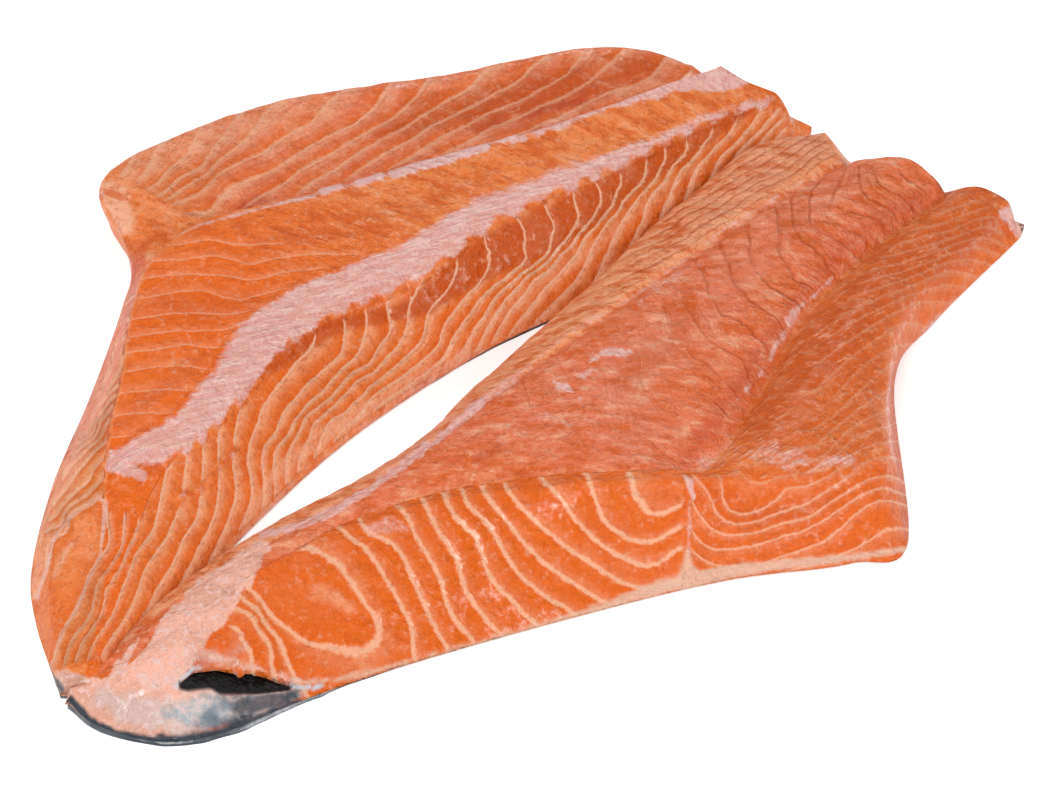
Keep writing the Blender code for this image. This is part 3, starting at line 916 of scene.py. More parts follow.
    def family_cover(self, family: FlakeFamily, areas: tuple[Area, ...]) -> np.ndarray:
        """Where a family shows: windows of stations and places with soft sides.

        Args:
            family: which flakes.
            areas: first and last station, low and high place of each window.

        Returns:
            The cover over the grid, 0 to 1.
        """
        shares = [
            window(self.station, first, last, STATION_SOFT) * window(self.place, low, high, PLACE_SOFT)
            for first, last, low, high in areas
        ]
        return np.max(shares, axis=0)

    def colour_fields(self) -> None:
        """Fills the colour fields. Each fillet has its own."""
        raise NotImplementedError

    def extra_relief(self) -> np.ndarray:
        """The form that only this fillet has, in millimetres."""
        raise NotImplementedError

    def painted(self, strokes: tuple[Stroke, ...], seed: int) -> np.ndarray:
        """Cover of strokes over the grid."""
        return paint(strokes, self.at.reshape(-1, 2), seed).reshape(self.station.shape)

    def build(self) -> bpy.types.Object:
        """Makes the fillet's closed mesh with its fields as attributes.

        Returns:
            The object.
        """
        self.top_surface()
        self.colour_fields()
        x, y = self.grid[..., 0], self.grid[..., 1]
        relief = self.flakes() + self.extra_relief()
        relief += sum(height * rough_noise(x, y, size, seed) for height, size, seed in UNEVEN)
        self.feet = np.stack([self.grid[:, 0], self.grid[:, -1]], axis=1)
        side = window(self.place, 0.35, self.place.max() - 0.3, 0.35)
        ends = smooth_step(self.station, 0.0, 0.03)
        self.grid = self.grid + self.normals() * (relief * np.maximum(side, 0.15) * ends)[..., None]
        self.grid += self.hollow[..., None] * np.array(POCKET_DEPTH)
        lowest = SKIN_THICKNESS * 0.9
        self.grid[..., 2] = lowest + np.maximum(self.grid[..., 2], 0.0) * (1 - lowest / FLESH_HEIGHT)
        return closed_tube(self.name, *self.close())

    def close(self) -> tuple[np.ndarray, dict[str, np.ndarray]]:
        """Adds the underside and the two ends to the top surface.

        A rib becomes a loop: the top from the gap side outwards, then the flat underside back. Each
        end is closed by copies of its last loop that shrink towards the rib's middle line.

        Returns:
            Loops by points by 3, and each field on the same grid.
        """
        part = np.linspace(1.0, 0.0, self.under_columns + 2)[1:-1]
        foot, gap = self.grid[:, -1:], self.grid[:, :1]
        under = gap + (foot - gap) * part[None, :, None]
        loops = np.concatenate([self.grid, under], axis=1)
        share = np.concatenate([np.linspace(0.0, 1.0, self.grid.shape[1]), part])
        rings = []
        for rib, inner, bulge in ((0, 8, 0.6), (-1, -9, 1.6)):
            middle = gap[rib] + (foot[rib] - gap[rib]) * share[:, None]
            middle[:, 2] = 0.45 * self.grid[rib, :, 2].mean()
            along = self.grid[rib].mean(axis=0) - self.grid[inner].mean(axis=0)
            along[2] = 0.0
            along = unit(along)
            ripple = rough_noise(share * 60.0, np.zeros_like(share), 4.0, 55)
            stack = []
            for depth in self.end_rings:
                swell = bulge * (1 - (1 - depth) ** 2) + 0.7 * ripple * math.sin(math.pi * depth)
                stack.append(loops[rib] * (1 - depth) + middle * depth + along * swell[:, None])
            rings.append(np.stack(stack))
        loops = np.concatenate([rings[0][::-1], loops, rings[1]], axis=0)
        count = len(self.end_rings)
        values = {
            key: np.pad(value, ((count, count), (0, self.under_columns)), mode="edge")
            for key, value in self.fields.items()
        }
        return loops, values


@dataclass
class RightFillet(Fillet):
    """The near fillet: rolled strip, fine-grained plane, groove, mound, cut front face and torn pocket."""

    slot_columns: tuple[int, int] = (20, 30)

    @property
    def face_column(self) -> int:
        """The first column of the front face."""
        return sum(self.strips[:6])

    def flakes(self) -> np.ndarray:
        """The cracks of plane and roll are faint towards the tail, the lines on the mound's back too.

        Returns:
            The relief in millimetres.
        """
        relief = super().flakes()
        self.fields["flake_dark"] *= 0.25 + 0.75 * smooth_step(self.station, 0.66, 0.80)
        back = window(self.place, 4.0, 5.9, 0.5) * smooth_step(self.at[..., 0], 690.0, 720.0)
        back = np.maximum(back, smooth_step(self.station, 0.84, 0.90) * (self.place > 3.9))
        self.fields["flake_line"] *= 1.0 - 0.65 * back
        return relief

    def family_cover(self, family: FlakeFamily, areas: tuple[Area, ...]) -> np.ndarray:
        """The front face's flakes meet the mound's rings at an upright seam in the picture.

        Args:
            family: which flakes.
            areas: first and last station, low and high place of each window.

        Returns:
            The cover over the grid, 0 to 1.
        """
        cover = super().family_cover(family, areas)
        if family in UPRIGHT_SEAM:
            cover = cover * smooth_step(self.at[..., 0], *UPRIGHT_SEAM[family])
        return cover

    def fit_columns(self, places: np.ndarray, at: np.ndarray) -> np.ndarray:
        """Lays two columns of the front face along the upper and lower edge of the torn pocket.

        On each rib the column crosses the edge where the picture point passes from above it to below.
        Past the pocket's ends the columns ease back to their even spacing.

        Args:
            places: where each column is on each rib.
            at: the picture points there.

        Returns:
            The places, moved.
        """
        face = slice(self.face_column, places.shape[1])
        x, y, even = at[:, face, 0], at[:, face, 1], places[:, face]
        row = np.arange(len(even))
        crossing = []
        for edge in (SLOT_UPPER, SLOT_LOWER):
            below = y - np.interp(x, *np.array(edge, float).T)
            hit = np.clip(np.argmax(below > 0, axis=1), 1, even.shape[1] - 1)
            over, short = below[row, hit], below[row, hit - 1]
            share = np.clip(-short / (over - short + TINY), 0.0, 1.0)
            crossing.append(even[row, hit - 1] + share * (even[row, hit] - even[row, hit - 1]))
        middle = x[:, x.shape[1] // 2]
        near = window(middle, SLOT_UPPER[0][0] - 4.0, SLOT_UPPER[-1][0] + 4.0, 26.0)
        moved = places.copy()
        columns = np.arange(even.shape[1])
        for rib in np.flatnonzero(near > 0):
            own = even[rib]
            pairs = zip(self.slot_columns, crossing)
            goal = [own[k] + near[rib] * (cross[rib] - own[k]) for k, cross in pairs]
            goal[1] = max(goal[1], goal[0] + 0.002)
            held = [0, *self.slot_columns, columns[-1]]
            moved[rib, face] = np.interp(columns, held, [own[0], *goal, own[-1]])
        return moved

    def pocket(self) -> np.ndarray:
        """1 between the two columns that edge the pocket, inside its ends.

        Returns:
            The cover over the grid.
        """
        top, bottom = self.slot_columns
        inside = np.zeros(self.station.shape)
        inside[:, self.face_column + top + 1 : self.face_column + bottom] = 1.0
        return inside * window(self.at[..., 0], SLOT_UPPER[0][0] + 5.0, SLOT_UPPER[-1][0] - 5.0, 3.0)

    def extra_relief(self) -> np.ndarray:
        """Seam and groove valleys, and the raised lip of the torn pocket.

        Returns:
            Millimetres over the grid.
        """
        seam = -1.5 * valley(self.place, 2.0, 0.16) * smooth_step(self.station, 0.3, 0.6)
        groove = -2.2 * valley(self.place, 4.0, 0.22) * smooth_step(self.station, 0.60, 0.72)
        return seam + groove + 0.8 * self.painted(TORN_EDGE, 5)

    def colour_fields(self) -> None:
        """Pink on the plane and roll, orange on the front face, pale fat along seam, groove and belly,
        painted shade in the torn pocket.
        """
        t, v, painted = self.station, self.place, self.painted
        patch = rough_noise(self.at[..., 0], self.at[..., 1], PATCH_SIZE, 12)
        roll = window(v, 0.0, 1.85, 0.15)
        early = smooth_step(t, 0.66, 0.58)
        plane = window(v, 2.0, 3.9 + 1.0 * early, 0.15)
        mound = window(v, 4.1, 5.9, 0.2) * (1 - early)
        face = np.maximum(window(v, 5.95, 7.0, 0.08), window(v, 5.0, 7.0, 0.1) * early)
        crest = window(v, 4.3, 5.7, 0.4) * smooth_step(t, 0.66, 0.74)
        arcs = smooth_step(t, 0.40, 0.62)
        # The pocket's cover paints the pocket near black and in dark skin colour: painted shade in the
        # hollow.
        cavity = self.pocket()
        self.hollow = cavity.copy()
        lip_column = self.face_column + self.slot_columns[1]
        cavity[:, lip_column] = cavity[:, lip_column - 1]
        pale = [painted(SEAM_FAT, 90), painted(PLANE_FAT, 100), painted(GROOVE_FAT, 110)]
        pale += [painted(BROW_PALE, 120), painted(PALE_TIP, 160)]
        membrane = painted(TAIL_MEMBRANE, 140) * (1 - painted(ORANGE_RIM, 150))
        dry = smooth_step(t, 0.74, 0.78) * smooth_step(v, 6.2, 6.6)
        wet = (face * smooth_step(v, 6.0, 6.3) + 0.12 * mound) * (1 - dry)
        self.fields.update(
            cavity=cavity,
            edge=np.maximum(painted(TORN_EDGE, 84), painted(GREY_FILM, 88)),
            # Deep orange, with painted shade down the mound's right-facing edge.
            deep=np.max([painted(DEEP_ORANGE_AND_SHADE, 85), 0.18 * face, 0.6 * crest], axis=0),
            light=np.maximum(painted(LIGHT, 86), 0.46 * roll),
            # Dark skin colour, and inside the torn pocket painted shade.
            skin=np.maximum(painted(DARK_SKIN, 82), cavity),
            silver=painted(SILVER, 83) * (1 - cavity),
            membrane=membrane,
            fat=np.max(pale, axis=0),
            beige=painted(BELLY_FAT, 170),
            blood=painted(BLOOD, 180) * (1 - 0.6 * face),
            pink=np.clip(0.45 * roll + 0.84 * plane + 0.22 * mound + 0.06 * face + 0.14 * patch, 0.0, 1.0),
            grain_along=plane * (0.62 - 0.40 * arcs),
            grain_across=0.75 * mound,
            grain_flake=0.35 * roll + 0.25 * face + 0.55 * plane * arcs,
            wet=np.clip(np.maximum(wet, membrane), 0.0, 1.0),
        )


@dataclass
class LeftFillet(Fillet):
    """The far fillet: flaked face, raised slab with a pale band, far strip and flank."""

    def family_cover(self, family: FlakeFamily, areas: tuple[Area, ...]) -> np.ndarray:
        """The flakes stop at the pale band."""
        return super().family_cover(family, areas) * (1 - self.painted(BAND, 40))

    def blobs(self) -> np.ndarray:
        """The pale blobs on the ridge."""
        return self.painted(RIDGE_BLOBS, 56) * window(self.place, 3.4, 4.3, 0.2)

    def extra_relief(self) -> np.ndarray:
        """The trough behind the ridge, a step in the face, the band's low swell and the ridge's blobs.

        Returns:
            Millimetres over the grid.
        """
        trough = -1.2 * valley(self.place, 5.0, 0.25) * smooth_step(self.station, 0.56, 0.68)
        step = -0.5 * window(self.place, 1.2, 1.4, 0.15) * smooth_step(self.station, 0.60, 0.72)
        return trough + step + 0.5 * self.painted(BAND, 41) + 0.7 * self.blobs()

    def colour_fields(self) -> None:
        """Orange slab and face, pink far strip and flank, pale band and ridge."""
        t, v, painted = self.station, self.place, self.painted
        x = self.at[..., 0]
        patch = rough_noise(x, self.at[..., 1], PATCH_SIZE, 14)
        far = smooth_step(t, 0.58, 0.66)
        face = window(v, 0.0, 1.95, 0.1)
        slab = window(v, 2.0, 4.0, 0.1)
        strip = window(v, 4.6, 6.2, 0.3) * far
        flank = window(v, 4.05, 7.0, 0.2) * smooth_step(t, 0.62, 0.56)
        outer = window(v, 6.2, 7.0, 0.2) * far
        pink = 0.26 * face + slab * (0.04 + 0.42 * smooth_step(t, 0.45, 0.95)) + 0.80 * strip + 0.6 * outer
        lip = 0.2 * window(v, 0.0, 0.8, 0.5)
        pink += flank * (0.35 + 0.45 * smooth_step(t, 0.12, 0.4)) + 0.12 * patch + lip
        pink -= 0.35 * strip * smooth_step(t, 0.72, 0.62)
        number = LEFT_FACE.number(self.at.reshape(-1, 2)).reshape(t.shape)
        scallop = 0.5 + 0.5 * np.cos(2 * np.pi * number)
        wide = painted(BAND, 42) * (v < 4.2)
        below = smooth_step(v, 2.35, 2.0)
        band = np.clip(wide + below * wide * (1 - wide) * 2.2 * (scallop - 0.55), 0.0, 1.0)
        blobs, ring = self.blobs(), painted(LENS_RING, 65)
        ridge = painted(RIDGE_FAT, 50) * window(v, 3.0, 4.4, 0.4)
        rim = 0.35 * smooth_step(v, 0.55, 0.25)
        pale = [band, ridge, 0.9 * blobs, 0.6 * ring, rim, painted(PALE_TIP, 60) * (v > 4.5)]
        calm = smooth_step(x, 190.0, 300.0) * (1 - 0.35 * smooth_step(x, 420.0, 520.0))
        membrane = painted(TAIL_MEMBRANE, 140) * smooth_step(t, 0.09, 0.04)
        moist = 0.8 * face + 0.8 * slab * smooth_step(t, 0.6, 0.4) + 0.3 * strip
        nothing = self.hollow = np.zeros(t.shape)
        self.fields.update(
            cavity=nothing,
            edge=0.12 * blobs,
            deep=painted(DEEP_ORANGE_AND_SHADE, 85),
            light=np.maximum(painted(LIGHT, 86), 0.9 * ring),
            skin=painted(DARK_SKIN, 82),
            silver=nothing,
            membrane=membrane,
            fat=np.max(pale, axis=0),
            beige=nothing,
            blood=painted(BLOOD, 70) * (v > 4.3),
            pink=np.clip(pink, 0.0, 1.0),
            grain_along=0.75 * slab * (1 - band) * calm,
            grain_across=band,
            grain_flake=0.65 * strip + 0.8 * flank + 0.3 * face,
            wet=np.clip(np.maximum(moist, membrane), 0.0, 1.0),
        )


class Nodes:
    """Adds shader nodes to a tree and joins them."""

    def __init__(self, tree: bpy.types.NodeTree) -> None:
        """Keeps the tree."""
        self.tree = tree

    def add(
        self, kind: str, inputs: dict[str | int, object] | None = None, **settings: object
    ) -> bpy.types.Node:
        """A new node with its properties and some of its inputs set.

        Args:
            kind: the node's type.
            inputs: values or outputs for its inputs, by name or number.
            settings: its properties.

        Returns:
            The node.
        """
        node = self.tree.nodes.new(kind)
        for key, value in settings.items():
            setattr(node, key, value)
        self.fill(node, inputs or {})
        return node

    def put(self, value: object, socket: bpy.types.NodeSocket) -> None:
        """Sets a socket to a number or colour, or links an output to it.

        Args:
            value: a number, a colour or an output.
            socket: the input that takes it.
        """
        if isinstance(value, bpy.types.NodeSocket):
            self.tree.links.new(value, socket)
        else:
            socket.default_value = value

    def fill(self, node: bpy.types.Node, inputs: dict[str | int, object]) -> None:
        """Puts several values into a node."""
        for key, value in inputs.items():
            self.put(value, node.inputs[key])

    def field(self, name: str) -> bpy.types.NodeSocket:
        """The value of a mesh attribute."""
        return self.add("ShaderNodeAttribute", attribute_name=name).outputs["Fac"]

    def place(self) -> bpy.types.NodeSocket:
        """Object coordinates."""
        return self.add("ShaderNodeTexCoord").outputs["Object"]

    def math(self, operation: str, *values: object) -> bpy.types.NodeSocket:
        """One Math node."""
        return self.add("ShaderNodeMath", dict(enumerate(values)), operation=operation).outputs[0]

    def times(self, first: object, *others: object) -> bpy.types.NodeSocket:
        """The product of several values.

        Args:
            first: a number or an output.
            others: what it is multiplied by, in turn.

        Returns:
            The product.
        """
        for other in others:
            first = self.math("MULTIPLY", first, other)
        return first

    def scaled(self, value: object, share: object, rest: object) -> bpy.types.NodeSocket:
        """A value times a share, plus the rest."""
        return self.math("MULTIPLY_ADD", value, share, rest)

    def centred(self, value: object) -> bpy.types.NodeSocket:
        """A value from 0 to 1, moved to lie round 0."""
        return self.math("SUBTRACT", value, 0.5)

    def ramp(
        self, value: object, start: float, end: float, low: float = 0.0, high: float = 1.0
    ) -> bpy.types.NodeSocket:
        """Smooth step of a value from start to end."""
        inputs = dict(enumerate((value, start, end, low, high)))
        return self.add("ShaderNodeMapRange", inputs, interpolation_type="SMOOTHSTEP").outputs[0]

    def mix(self, factor: object, first: object, second: object) -> bpy.types.NodeSocket:
        """Mix of two colours."""
        inputs = {0: factor, 6: first, 7: second}
        return self.add("ShaderNodeMix", inputs, data_type="RGBA", clamp_factor=True).outputs[2]

    def noise(
        self, place: object, scale: float, detail: float = 4.0, rough: float = 0.55
    ) -> bpy.types.NodeSocket:
        """Noise from 0 to 1."""
        inputs = {"Vector": place, "Scale": scale, "Detail": detail, "Roughness": rough}
        return self.add("ShaderNodeTexNoise", inputs).outputs[0]

    def turned(self, angle: float, stretch: tuple[float, float, float]) -> bpy.types.NodeSocket:
        """Object coordinates turned about Z and then stretched, for a grain that runs one way.

        Args:
            angle: the turn in radians.
            stretch: the scale of each axis after it.

        Returns:
            The coordinates.
        """
        turn = {"Rotation": (0.0, 0.0, angle), "Vector": self.place()}
        scale = {"Scale": stretch, "Vector": self.add("ShaderNodeMapping", turn).outputs[0]}
        return self.add("ShaderNodeMapping", scale).outputs[0]

    def bump(self, height: object, strength: float, distance: float, shader: bpy.types.Node) -> None:
        """Gives a shader the normal of a height."""
        inputs = {"Height": height, "Strength": strength, "Distance": distance}
        self.put(self.add("ShaderNodeBump", inputs).outputs[0], shader.inputs["Normal"])


def principled(name: str, inputs: dict[str, object]) -> tuple[bpy.types.Material, Nodes, bpy.types.Node]:
    """A new material with its shader's plain inputs set.

    Args:
        name: the material's name.
        inputs: the shader's inputs that are the same all over.

    Returns:
        The material, its nodes and its Principled shader.
    """
    material = bpy.data.materials.new(name)
    material.use_nodes = True
    nodes = Nodes(material.node_tree)
    shader = material.node_tree.nodes["Principled BSDF"]
    nodes.fill(shader, inputs)
    return material, nodes, shader


def fibre_group() -> bpy.types.NodeTree:
    """Fine muscle fibres that run one way: stretched noise at two sizes.

    Returns:
        A group from Vector to Fibre, 0 to 1.
    """
    name = "muscle_fibre"
    if name in bpy.data.node_groups:
        return bpy.data.node_groups[name]
    tree = bpy.data.node_groups.new(name, "ShaderNodeTree")
    tree.interface.new_socket("Vector", in_out="INPUT", socket_type="NodeSocketVector")
    tree.interface.new_socket("Fibre", in_out="OUTPUT", socket_type="NodeSocketFloat")
    nodes = Nodes(tree)
    start, end = nodes.add("NodeGroupInput"), nodes.add("NodeGroupOutput")
    coarse = nodes.noise(start.outputs[0], 700.0, 3.0)
    fine = nodes.noise(start.outputs[0], 1700.0, 2.0)
    nodes.put(nodes.scaled(fine, 0.4, nodes.times(coarse, 0.6)), end.inputs[0])
    return tree


@dataclass(frozen=True)
class FleshFinish:
    """Raw salmon: orange to pink muscle with flake lines, fat, membrane, blood and a wet shine."""

    name: str
    slab_turn: float
    cross_turn: float
    slab_stretch: float
    orange: Colour = (0.74, 0.125, 0.002, 1.0)
    deep: Colour = (0.50, 0.066, 0.003, 1.0)
    warm: Colour = (0.60, 0.095, 0.006, 1.0)
    amber: Colour = (0.78, 0.215, 0.050, 1.0)
    pink: Colour = (0.72, 0.170, 0.082, 1.0)
    pale: Colour = (0.84, 0.42, 0.26, 1.0)
    fat: Colour = (0.70, 0.33, 0.28, 1.0)
    white: Colour = (0.80, 0.52, 0.46, 1.0)
    beige: Colour = (0.72, 0.45, 0.33, 1.0)
    crack: Colour = (0.56, 0.075, 0.012, 1.0)
    blood: Colour = (0.48, 0.045, 0.012, 1.0)
    membrane: Colour = (0.84, 0.45, 0.34, 1.0)
    membrane_dim: Colour = (0.66, 0.34, 0.24, 1.0)
    edge: Colour = (0.52, 0.60, 0.66, 1.0)
    dark_skin: Colour = (0.035, 0.045, 0.060, 1.0)
    silver_skin: Colour = (0.34, 0.36, 0.36, 1.0)
    # Near black painted into the torn pocket: painted shade.
    cavity: Colour = (0.003, 0.002, 0.002, 1.0)

    def build(self) -> bpy.types.Material:
        """Makes the material.

        Returns:
            A Principled material driven by the fillet's fields.
        """
        material, nodes, shader = principled(
            self.name,
            {
                "Coat Roughness": 0.06,
                "Specular IOR Level": 0.15,
                "Subsurface Weight": 0.10,
                "Subsurface Radius": (1.0, 0.35, 0.15),
                "Subsurface Scale": 0.003,
            },
        )
        place = nodes.place()
        mottle = nodes.noise(place, 75.0, 5.0, 0.6)
        speck = nodes.noise(place, 520.0, 3.0, 0.6)
        fibre = self.fibres(nodes, place)
        line, part = self.flake_lines(nodes, place)
        rough = nodes.scaled(nodes.field("wet"), -0.10, 0.36)
        fine, broad = nodes.ramp(speck, 0.46, 0.62, 0.04, 1.0), nodes.ramp(mottle, 0.40, 0.60, 0.25, 1.0)
        inputs = {
            "Base Color": self.colours(nodes, mottle, speck, fibre, line, part),
            "Roughness": nodes.scaled(speck, 0.16, rough),
            "Coat Weight": nodes.scaled(nodes.times(fine, broad, nodes.field("wet")), 0.9, 0.06),
        }
        nodes.fill(shader, inputs)
        height = nodes.times(fibre, 0.55)
        for value, share in (
            (nodes.times(nodes.math("SUBTRACT", 1.0, part), nodes.field("flake_shade")), 0.7),
            (nodes.times(line, nodes.field("flake_dark")), -0.35),
            (nodes.noise(place, 1300.0, 2.0), 0.30),
            (speck, 0.55),
            (mottle, 0.5),
            (nodes.noise(place, 240.0, 2.0), 1.1),
        ):
            height = nodes.scaled(value, share, height)
        nodes.bump(height, 0.9, 0.0020, shader)
        return material

    def fibres(self, nodes: Nodes, place: bpy.types.NodeSocket) -> bpy.types.NodeSocket:
        """Fibres that run along the slab, across it or with the flakes, each where its field asks for it.

        Args:
            nodes: the material's nodes.
            place: Object coordinates.

        Returns:
            A value round 0.5, higher on a pale fibre and lower in a dark slot.
        """
        total = nodes.scaled(nodes.centred(nodes.noise(place, 800.0, 3.0)), 0.5, 0.5)
        ground = nodes.add("ShaderNodeSeparateXYZ", {0: place})
        across = {0: nodes.times(ground.outputs[0], 0.06), 1: nodes.times(nodes.field("flake"), 0.0100)}
        ways = (
            ("grain_along", nodes.turned(self.slab_turn, (self.slab_stretch, 1.0, 0.5))),
            ("grain_across", nodes.turned(self.cross_turn, (0.16, 1.0, 0.5))),
            ("grain_flake", nodes.add("ShaderNodeCombineXYZ", across).outputs[0]),
        )
        for key, vector in ways:
            group = nodes.add("ShaderNodeGroup", node_tree=fibre_group())
            nodes.put(vector, group.inputs[0])
            total = nodes.scaled(nodes.times(nodes.centred(group.outputs[0]), nodes.field(key)), 1.7, total)
        return total

    def flake_lines(
        self, nodes: Nodes, place: bpy.types.NodeSocket
    ) -> tuple[bpy.types.NodeSocket, bpy.types.NodeSocket]:
        """A line wherever the flake number is whole, and how far across its flake a place is.

        Args:
            nodes: the material's nodes.
            place: Object coordinates.

        Returns:
            The line's cover, and the part of the flake from 0 to 1.
        """
        jitter = nodes.centred(nodes.noise(place, 620.0, 2.0, 0.6))
        jag = nodes.times(nodes.field("flake_width"), 2.2)
        part = nodes.math("FRACT", nodes.scaled(jitter, jag, nodes.field("flake")))
        gap = nodes.math("MINIMUM", part, nodes.math("SUBTRACT", 1.0, part))
        width = nodes.math("MAXIMUM", nodes.field("flake_width"), 0.02)
        return nodes.ramp(nodes.math("DIVIDE", gap, width), 1.5, 0.2), part

    def colours(
        self, nodes: Nodes, mottle: object, speck: object, fibre: object, line: object, part: object
    ) -> bpy.types.NodeSocket:
        """Lays the colours over one another: flesh, flakes, fibres, blood, fat, lines, skin and the painted
        shade of the torn pocket.

        Args:
            nodes: the material's nodes.
            mottle: broad noise, 0 to 1.
            speck: fine noise, 0 to 1.
            fibre: fibres, round 0.5.
            line: cover of the flake lines.
            part: how far across its flake a place is.

        Returns:
            The base colour.
        """
        field_of, ramp, times, mix = nodes.field, nodes.ramp, nodes.times, nodes.mix
        pink, shade = field_of("pink"), field_of("flake_shade")
        fleck = ramp(pink, 0.1, 0.8, 0.35, 1.0)
        crumple = nodes.noise(nodes.turned(self.slab_turn, (0.45, 1.0, 0.6)), 260.0, 4.0, 0.68)
        plain = ramp(field_of("flake_line"), 0.0, 0.5, 1.0, 0.45)
        spotted = nodes.scaled(nodes.centred(mottle), 0.9, times(nodes.centred(fibre), 0.9))
        fat = ramp(nodes.math("ADD", field_of("fat"), spotted), 0.22, 0.80)
        thin = ramp(nodes.math("ADD", field_of("membrane"), spotted), 0.15, 0.70, 0.0, 0.95)
        film = mix(ramp(mottle, 0.36, 0.60), self.membrane_dim, self.membrane)
        scales = mix(ramp(speck, 0.35, 0.65), self.silver_skin, self.white)
        flesh = self.orange
        for cover, colour in (
            (ramp(pink, 0.0, 0.42), self.amber),
            (ramp(pink, 0.36, 0.95), self.pink),
            (times(shade, 0.55, ramp(part, 0.55, 0.05)), self.pale),
            (times(shade, 0.80, ramp(part, 0.38, 0.92)), self.orange),
            # Deep orange, partly painted shade on the mound's right-facing edge.
            (times(field_of("deep"), 0.85), self.deep),
            (field_of("light"), self.pale),
            (times(ramp(mottle, 0.48, 0.75, 0.0, 0.30), fleck), self.pale),
            (times(ramp(crumple, 0.53, 0.36, 0.0, 0.80), plain), self.warm),
            (times(fleck, plain, ramp(crumple, 0.53, 0.68, 0.0, 0.60)), self.pale),
            (ramp(speck, 0.47, 0.28, 0.0, 0.55), self.warm),
            (ramp(speck, 0.54, 0.75, 0.0, 0.40), self.pale),
            (ramp(fibre, 0.48, 0.22, 0.0, 0.60), self.crack),
            (ramp(fibre, 0.54, 0.86, 0.0, 0.70), self.pale),
            (times(field_of("blood"), 0.85), self.blood),
            (times(line, field_of("flake_dark"), ramp(mottle, 0.40, 0.56)), self.crack),
            (times(line, field_of("flake_line")), self.pale),
            (fat, mix(ramp(fibre, 0.35, 0.75), self.fat, self.white)),
            (thin, mix(ramp(speck, 0.50, 0.64), film, self.white)),
            (field_of("beige"), self.beige),
            (field_of("silver"), mix(ramp(mottle, 0.40, 0.58), self.dark_skin, scales)),
            (field_of("skin"), self.dark_skin),
            (field_of("edge"), self.edge),
            # Painted shade: the torn pocket near black.
            (field_of("cavity"), self.cavity),
        ):
            flesh = mix(cover, flesh, colour)
        return flesh


@dataclass(frozen=True)
class SkinFinish:
    """Wet fish skin: dark blue-grey with small silver scales."""

    name: str = "fish_skin"
    dark: Colour = (0.04, 0.05, 0.065, 1.0)
    silver: Colour = (0.26, 0.27, 0.29, 1.0)

    def build(self) -> bpy.types.Material:
        """Makes the material: scales from a Voronoi pattern, darker in broad patches.

        Returns:
            The material.
        """
        plain = {"Roughness": 0.28, "Coat Weight": 0.4, "Coat Roughness": 0.15}
        material, nodes, shader = principled(self.name, plain)
        vector = nodes.turned(0.8, (330.0, 480.0, 330.0))
        scales = nodes.add("ShaderNodeTexVoronoi", {"Scale": 1.0, "Vector": vector}, feature="F1")
        patch = nodes.noise(nodes.place(), 18.0, 4.0)
        colour = nodes.mix(nodes.ramp(patch, 0.40, 0.62), self.dark, self.silver)
        colour = nodes.mix(nodes.ramp(scales.outputs["Distance"], 0.35, 0.75, 0.0, 0.6), colour, self.dark)
        nodes.put(colour, shader.inputs["Base Color"])
        nodes.bump(scales.outputs["Distance"], 0.5, 0.0004, shader)
        return material


@dataclass
class SkinSheet:
    """The skin under a fillet: a thin sheet that follows the fillet's two feet."""

    name: str
    fillet: Fillet
    gap_spread: Knots
    foot_spread: Knots
    columns: int = 26

    def build(self) -> bpy.types.Object:
        """Makes the sheet, after its fillet.

        Its rib runs from foot to foot on top and back below. Each edge is pushed out by its spread,
        which wavers along the fillet, and thinned to a quarter.

        Returns:
            The object.
        """
        feet = self.fillet.feet[::2]
        way = unit(feet[:, 1] - feet[:, 0])
        along = np.arange(len(feet), dtype=float)
        stations = np.linspace(0.0, 1.0, len(feet))
        outer = [
            through_knots(knots, stations)[:, 0] + 0.35 * rough_noise(along, np.zeros_like(along), 5.0, seed)
            for knots, seed in ((self.gap_spread, 21), (self.foot_spread, 24))
        ]
        gap = feet[:, 0] - way * outer[0][:, None]
        foot = feet[:, 1] + way * outer[1][:, None]
        share = np.linspace(0.0, 1.0, self.columns)
        high = gap[:, None] + (foot - gap)[:, None] * share[None, :, None]
        low = high[:, ::-1].copy()
        rim = 0.25 + 0.75 * smooth_step(np.minimum(share, 1 - share), 0.0, 0.02)
        high[..., 2], low[..., 2] = SKIN_THICKNESS * rim[None, :], 0.0
        return closed_tube(self.name, np.concatenate([high, low], axis=1), {})


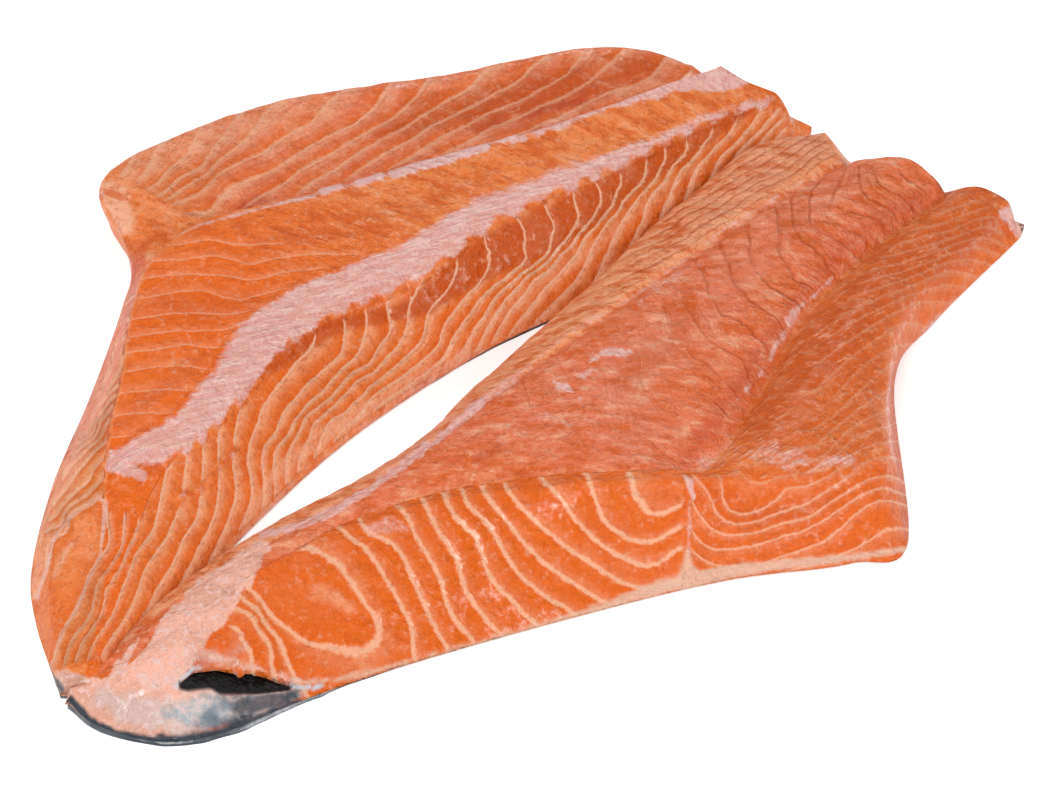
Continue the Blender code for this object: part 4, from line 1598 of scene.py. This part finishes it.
class Studio:
    """Pale floor, soft lights and a white surround."""

    def __init__(self, lowest: float) -> None:
        """Keeps the height of the floor."""
        self.lowest = lowest

    def build(self) -> None:
        """Makes floor, lights and surround."""
        bpy.ops.mesh.primitive_plane_add(size=6.0, location=(0.0, 0.0, self.lowest))
        floor = bpy.context.object
        floor.name = "floor"
        material, _, _ = principled(
            "pale_floor",
            {
                "Base Color": (0.86, 0.86, 0.86, 1.0),
                "Roughness": 0.9,
                "Specular IOR Level": 0.1,
                "Emission Color": (1.0, 1.0, 1.0, 1.0),
                "Emission Strength": 0.35,
            },
        )
        floor.data.materials.append(material)
        self.light("key", (-0.20, -0.85, 1.05), 0.5, 8.6)
        self.light("fill", (0.80, -0.55, 0.70), 0.6, 5.3)
        self.light("left", (-0.90, 0.15, 0.60), 0.35, 3.2)
        self.light("back", (0.1, 0.95, 0.60), 0.3, 2.0)
        world = bpy.data.worlds.new("surround")
        world.use_nodes = True
        background = world.node_tree.nodes["Background"].inputs
        background["Color"].default_value = (1.0, 1.0, 1.0, 1.0)
        background["Strength"].default_value = 0.40
        bpy.context.scene.world = world
        bpy.context.scene.view_settings.view_transform = "Standard"

    def light(self, name: str, place: tuple[float, float, float], size: float, power: float) -> None:
        """One square soft light that faces the fish.

        Args:
            name: the light's name.
            place: where it stands, in metres.
            size: its side in metres.
            power: its power in watts.
        """
        data = bpy.data.lights.new(name, "AREA")
        data.size, data.energy = size, power
        lamp = bpy.data.objects.new(name, data)
        lamp.location = place
        bpy.context.scene.collection.objects.link(lamp)
        away = -np.array(place)
        lamp.rotation_euler = (
            math.atan2(math.hypot(away[0], away[1]), -away[2]),
            0.0,
            math.atan2(away[1], away[0]) - math.pi / 2,
        )


def right_fillet() -> RightFillet:
    """The near fillet with its lines, flakes and strips."""
    return RightFillet(
        name="right_flesh",
        lines=RIGHT_LINES,
        between=(
            (3, "seam", "groove", 0.50, ((0.0, 0.5), (0.3, 1.0), (1.0, 3.0))),
            (5, "groove", "brow", 0.45, ((0.0, 0.3), (0.6, 0.5), (0.72, 3.0), (0.9, 4.0), (1.0, 2.0))),
        ),
        reach=(0, 1, 0, 5, 1, 4, 5, 2),
        roundness=(1.0, 1.0, 0.5, 1.0, 0.5, 1.0, 0.6, 1.0),
        strips=(15, 18, 30, 30, 20, 20, 42),
        families=(
            (FRONT_FACE, ((0.14, 0.70, 5.1, 6.95),)),
            (MOUND, ((0.50, 0.86, 5.2, 7.3), (0.78, 0.985, 4.7, 7.3))),
            (PLANE_CRACKS, ((0.42, 0.98, 2.2, 3.8),)),
            (ROLL_LINES, ((0.04, 0.99, 0.2, 1.75),)),
        ),
    )


def left_fillet() -> LeftFillet:
    """The far fillet with its lines, flakes and strips."""
    return LeftFillet(
        name="left_flesh",
        lines=LEFT_LINES,
        between=(
            (1, "gap_foot", "edge", 0.08, ((0.0, 1.5), (0.2, 2.5), (1.0, 2.5))),
            (3, "edge", "ridge", 0.50, ((0.0, 0.3), (0.3, 1.5), (1.0, 0.5))),
            (5, "ridge", "back", 0.28, ((0.0, 0.0), (0.5, 0.0), (0.64, -7.0), (0.9, -8.0), (1.0, -7.0))),
        ),
        reach=(0, -2, -2, -3, -1, 0, 1, 0),
        roundness=(1.0, 0.8, 0.7, 1.0, 0.35, 0.6, 0.6, 1.0),
        strips=(8, 52, 30, 28, 18, 26, 14),
        families=(
            (
                LEFT_FACE,
                (
                    (0.03, 0.98, 0.5, 1.97), (0.60, 0.99, 0.2, 1.97),
                    (0.03, 0.17, 0.5, 6.9), (0.03, 0.50, 4.3, 6.3),
                ),
            ),
            (SLAB_LINES, ((0.26, 0.60, 2.3, 3.9),)),
            (FAR_STRIP, ((0.66, 0.99, 5.15, 5.9),)),
        ),
    )


def main() -> None:
    """Builds the camera, the two fillets, their skins and the studio, and reports each piece."""
    logging.basicConfig(level=logging.INFO, format="%(name)s: %(message)s")
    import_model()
    CAMERA.build()
    pieces = []
    for fillet, finish, spreads in (
        (
            right_fillet(),
            FleshFinish("right_flesh", 0.1, -0.75, 0.45),
            (((0.0, 0.2), (1.0, 0.0)), ((0.0, 0.6), (0.16, 0.9), (0.26, -0.4), (1.0, -0.6))),
        ),
        (
            left_fillet(),
            FleshFinish("left_flesh", 0.42, -0.42, 0.20),
            (
                ((0.0, -0.6), (0.6, -0.5), (0.70, 0.1), (0.78, 0.5), (0.86, 0.4), (0.95, -0.2), (1.0, -0.3)),
                ((0.0, 0.3), (0.05, -0.2), (0.3, -0.5), (1.0, -0.6)),
            ),
        ),
    ):
        piece = fillet.build()
        piece.data.materials.append(finish.build())
        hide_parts("salmon_tail")
        pieces.append(piece)
        skin = SkinSheet(fillet.name.replace("flesh", "skin"), fillet, *spreads).build()
        skin.data.materials.append(SkinFinish().build())
        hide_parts("salmon_tail")
        pieces.append(skin)
    for piece in pieces:
        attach(piece, "root")
        LOG.info("%s: %d faces", piece.name, len(piece.data.polygons))
    Studio(0.0).build()
    bpy.context.view_layer.update()


if __name__ == "__main__":
    main()
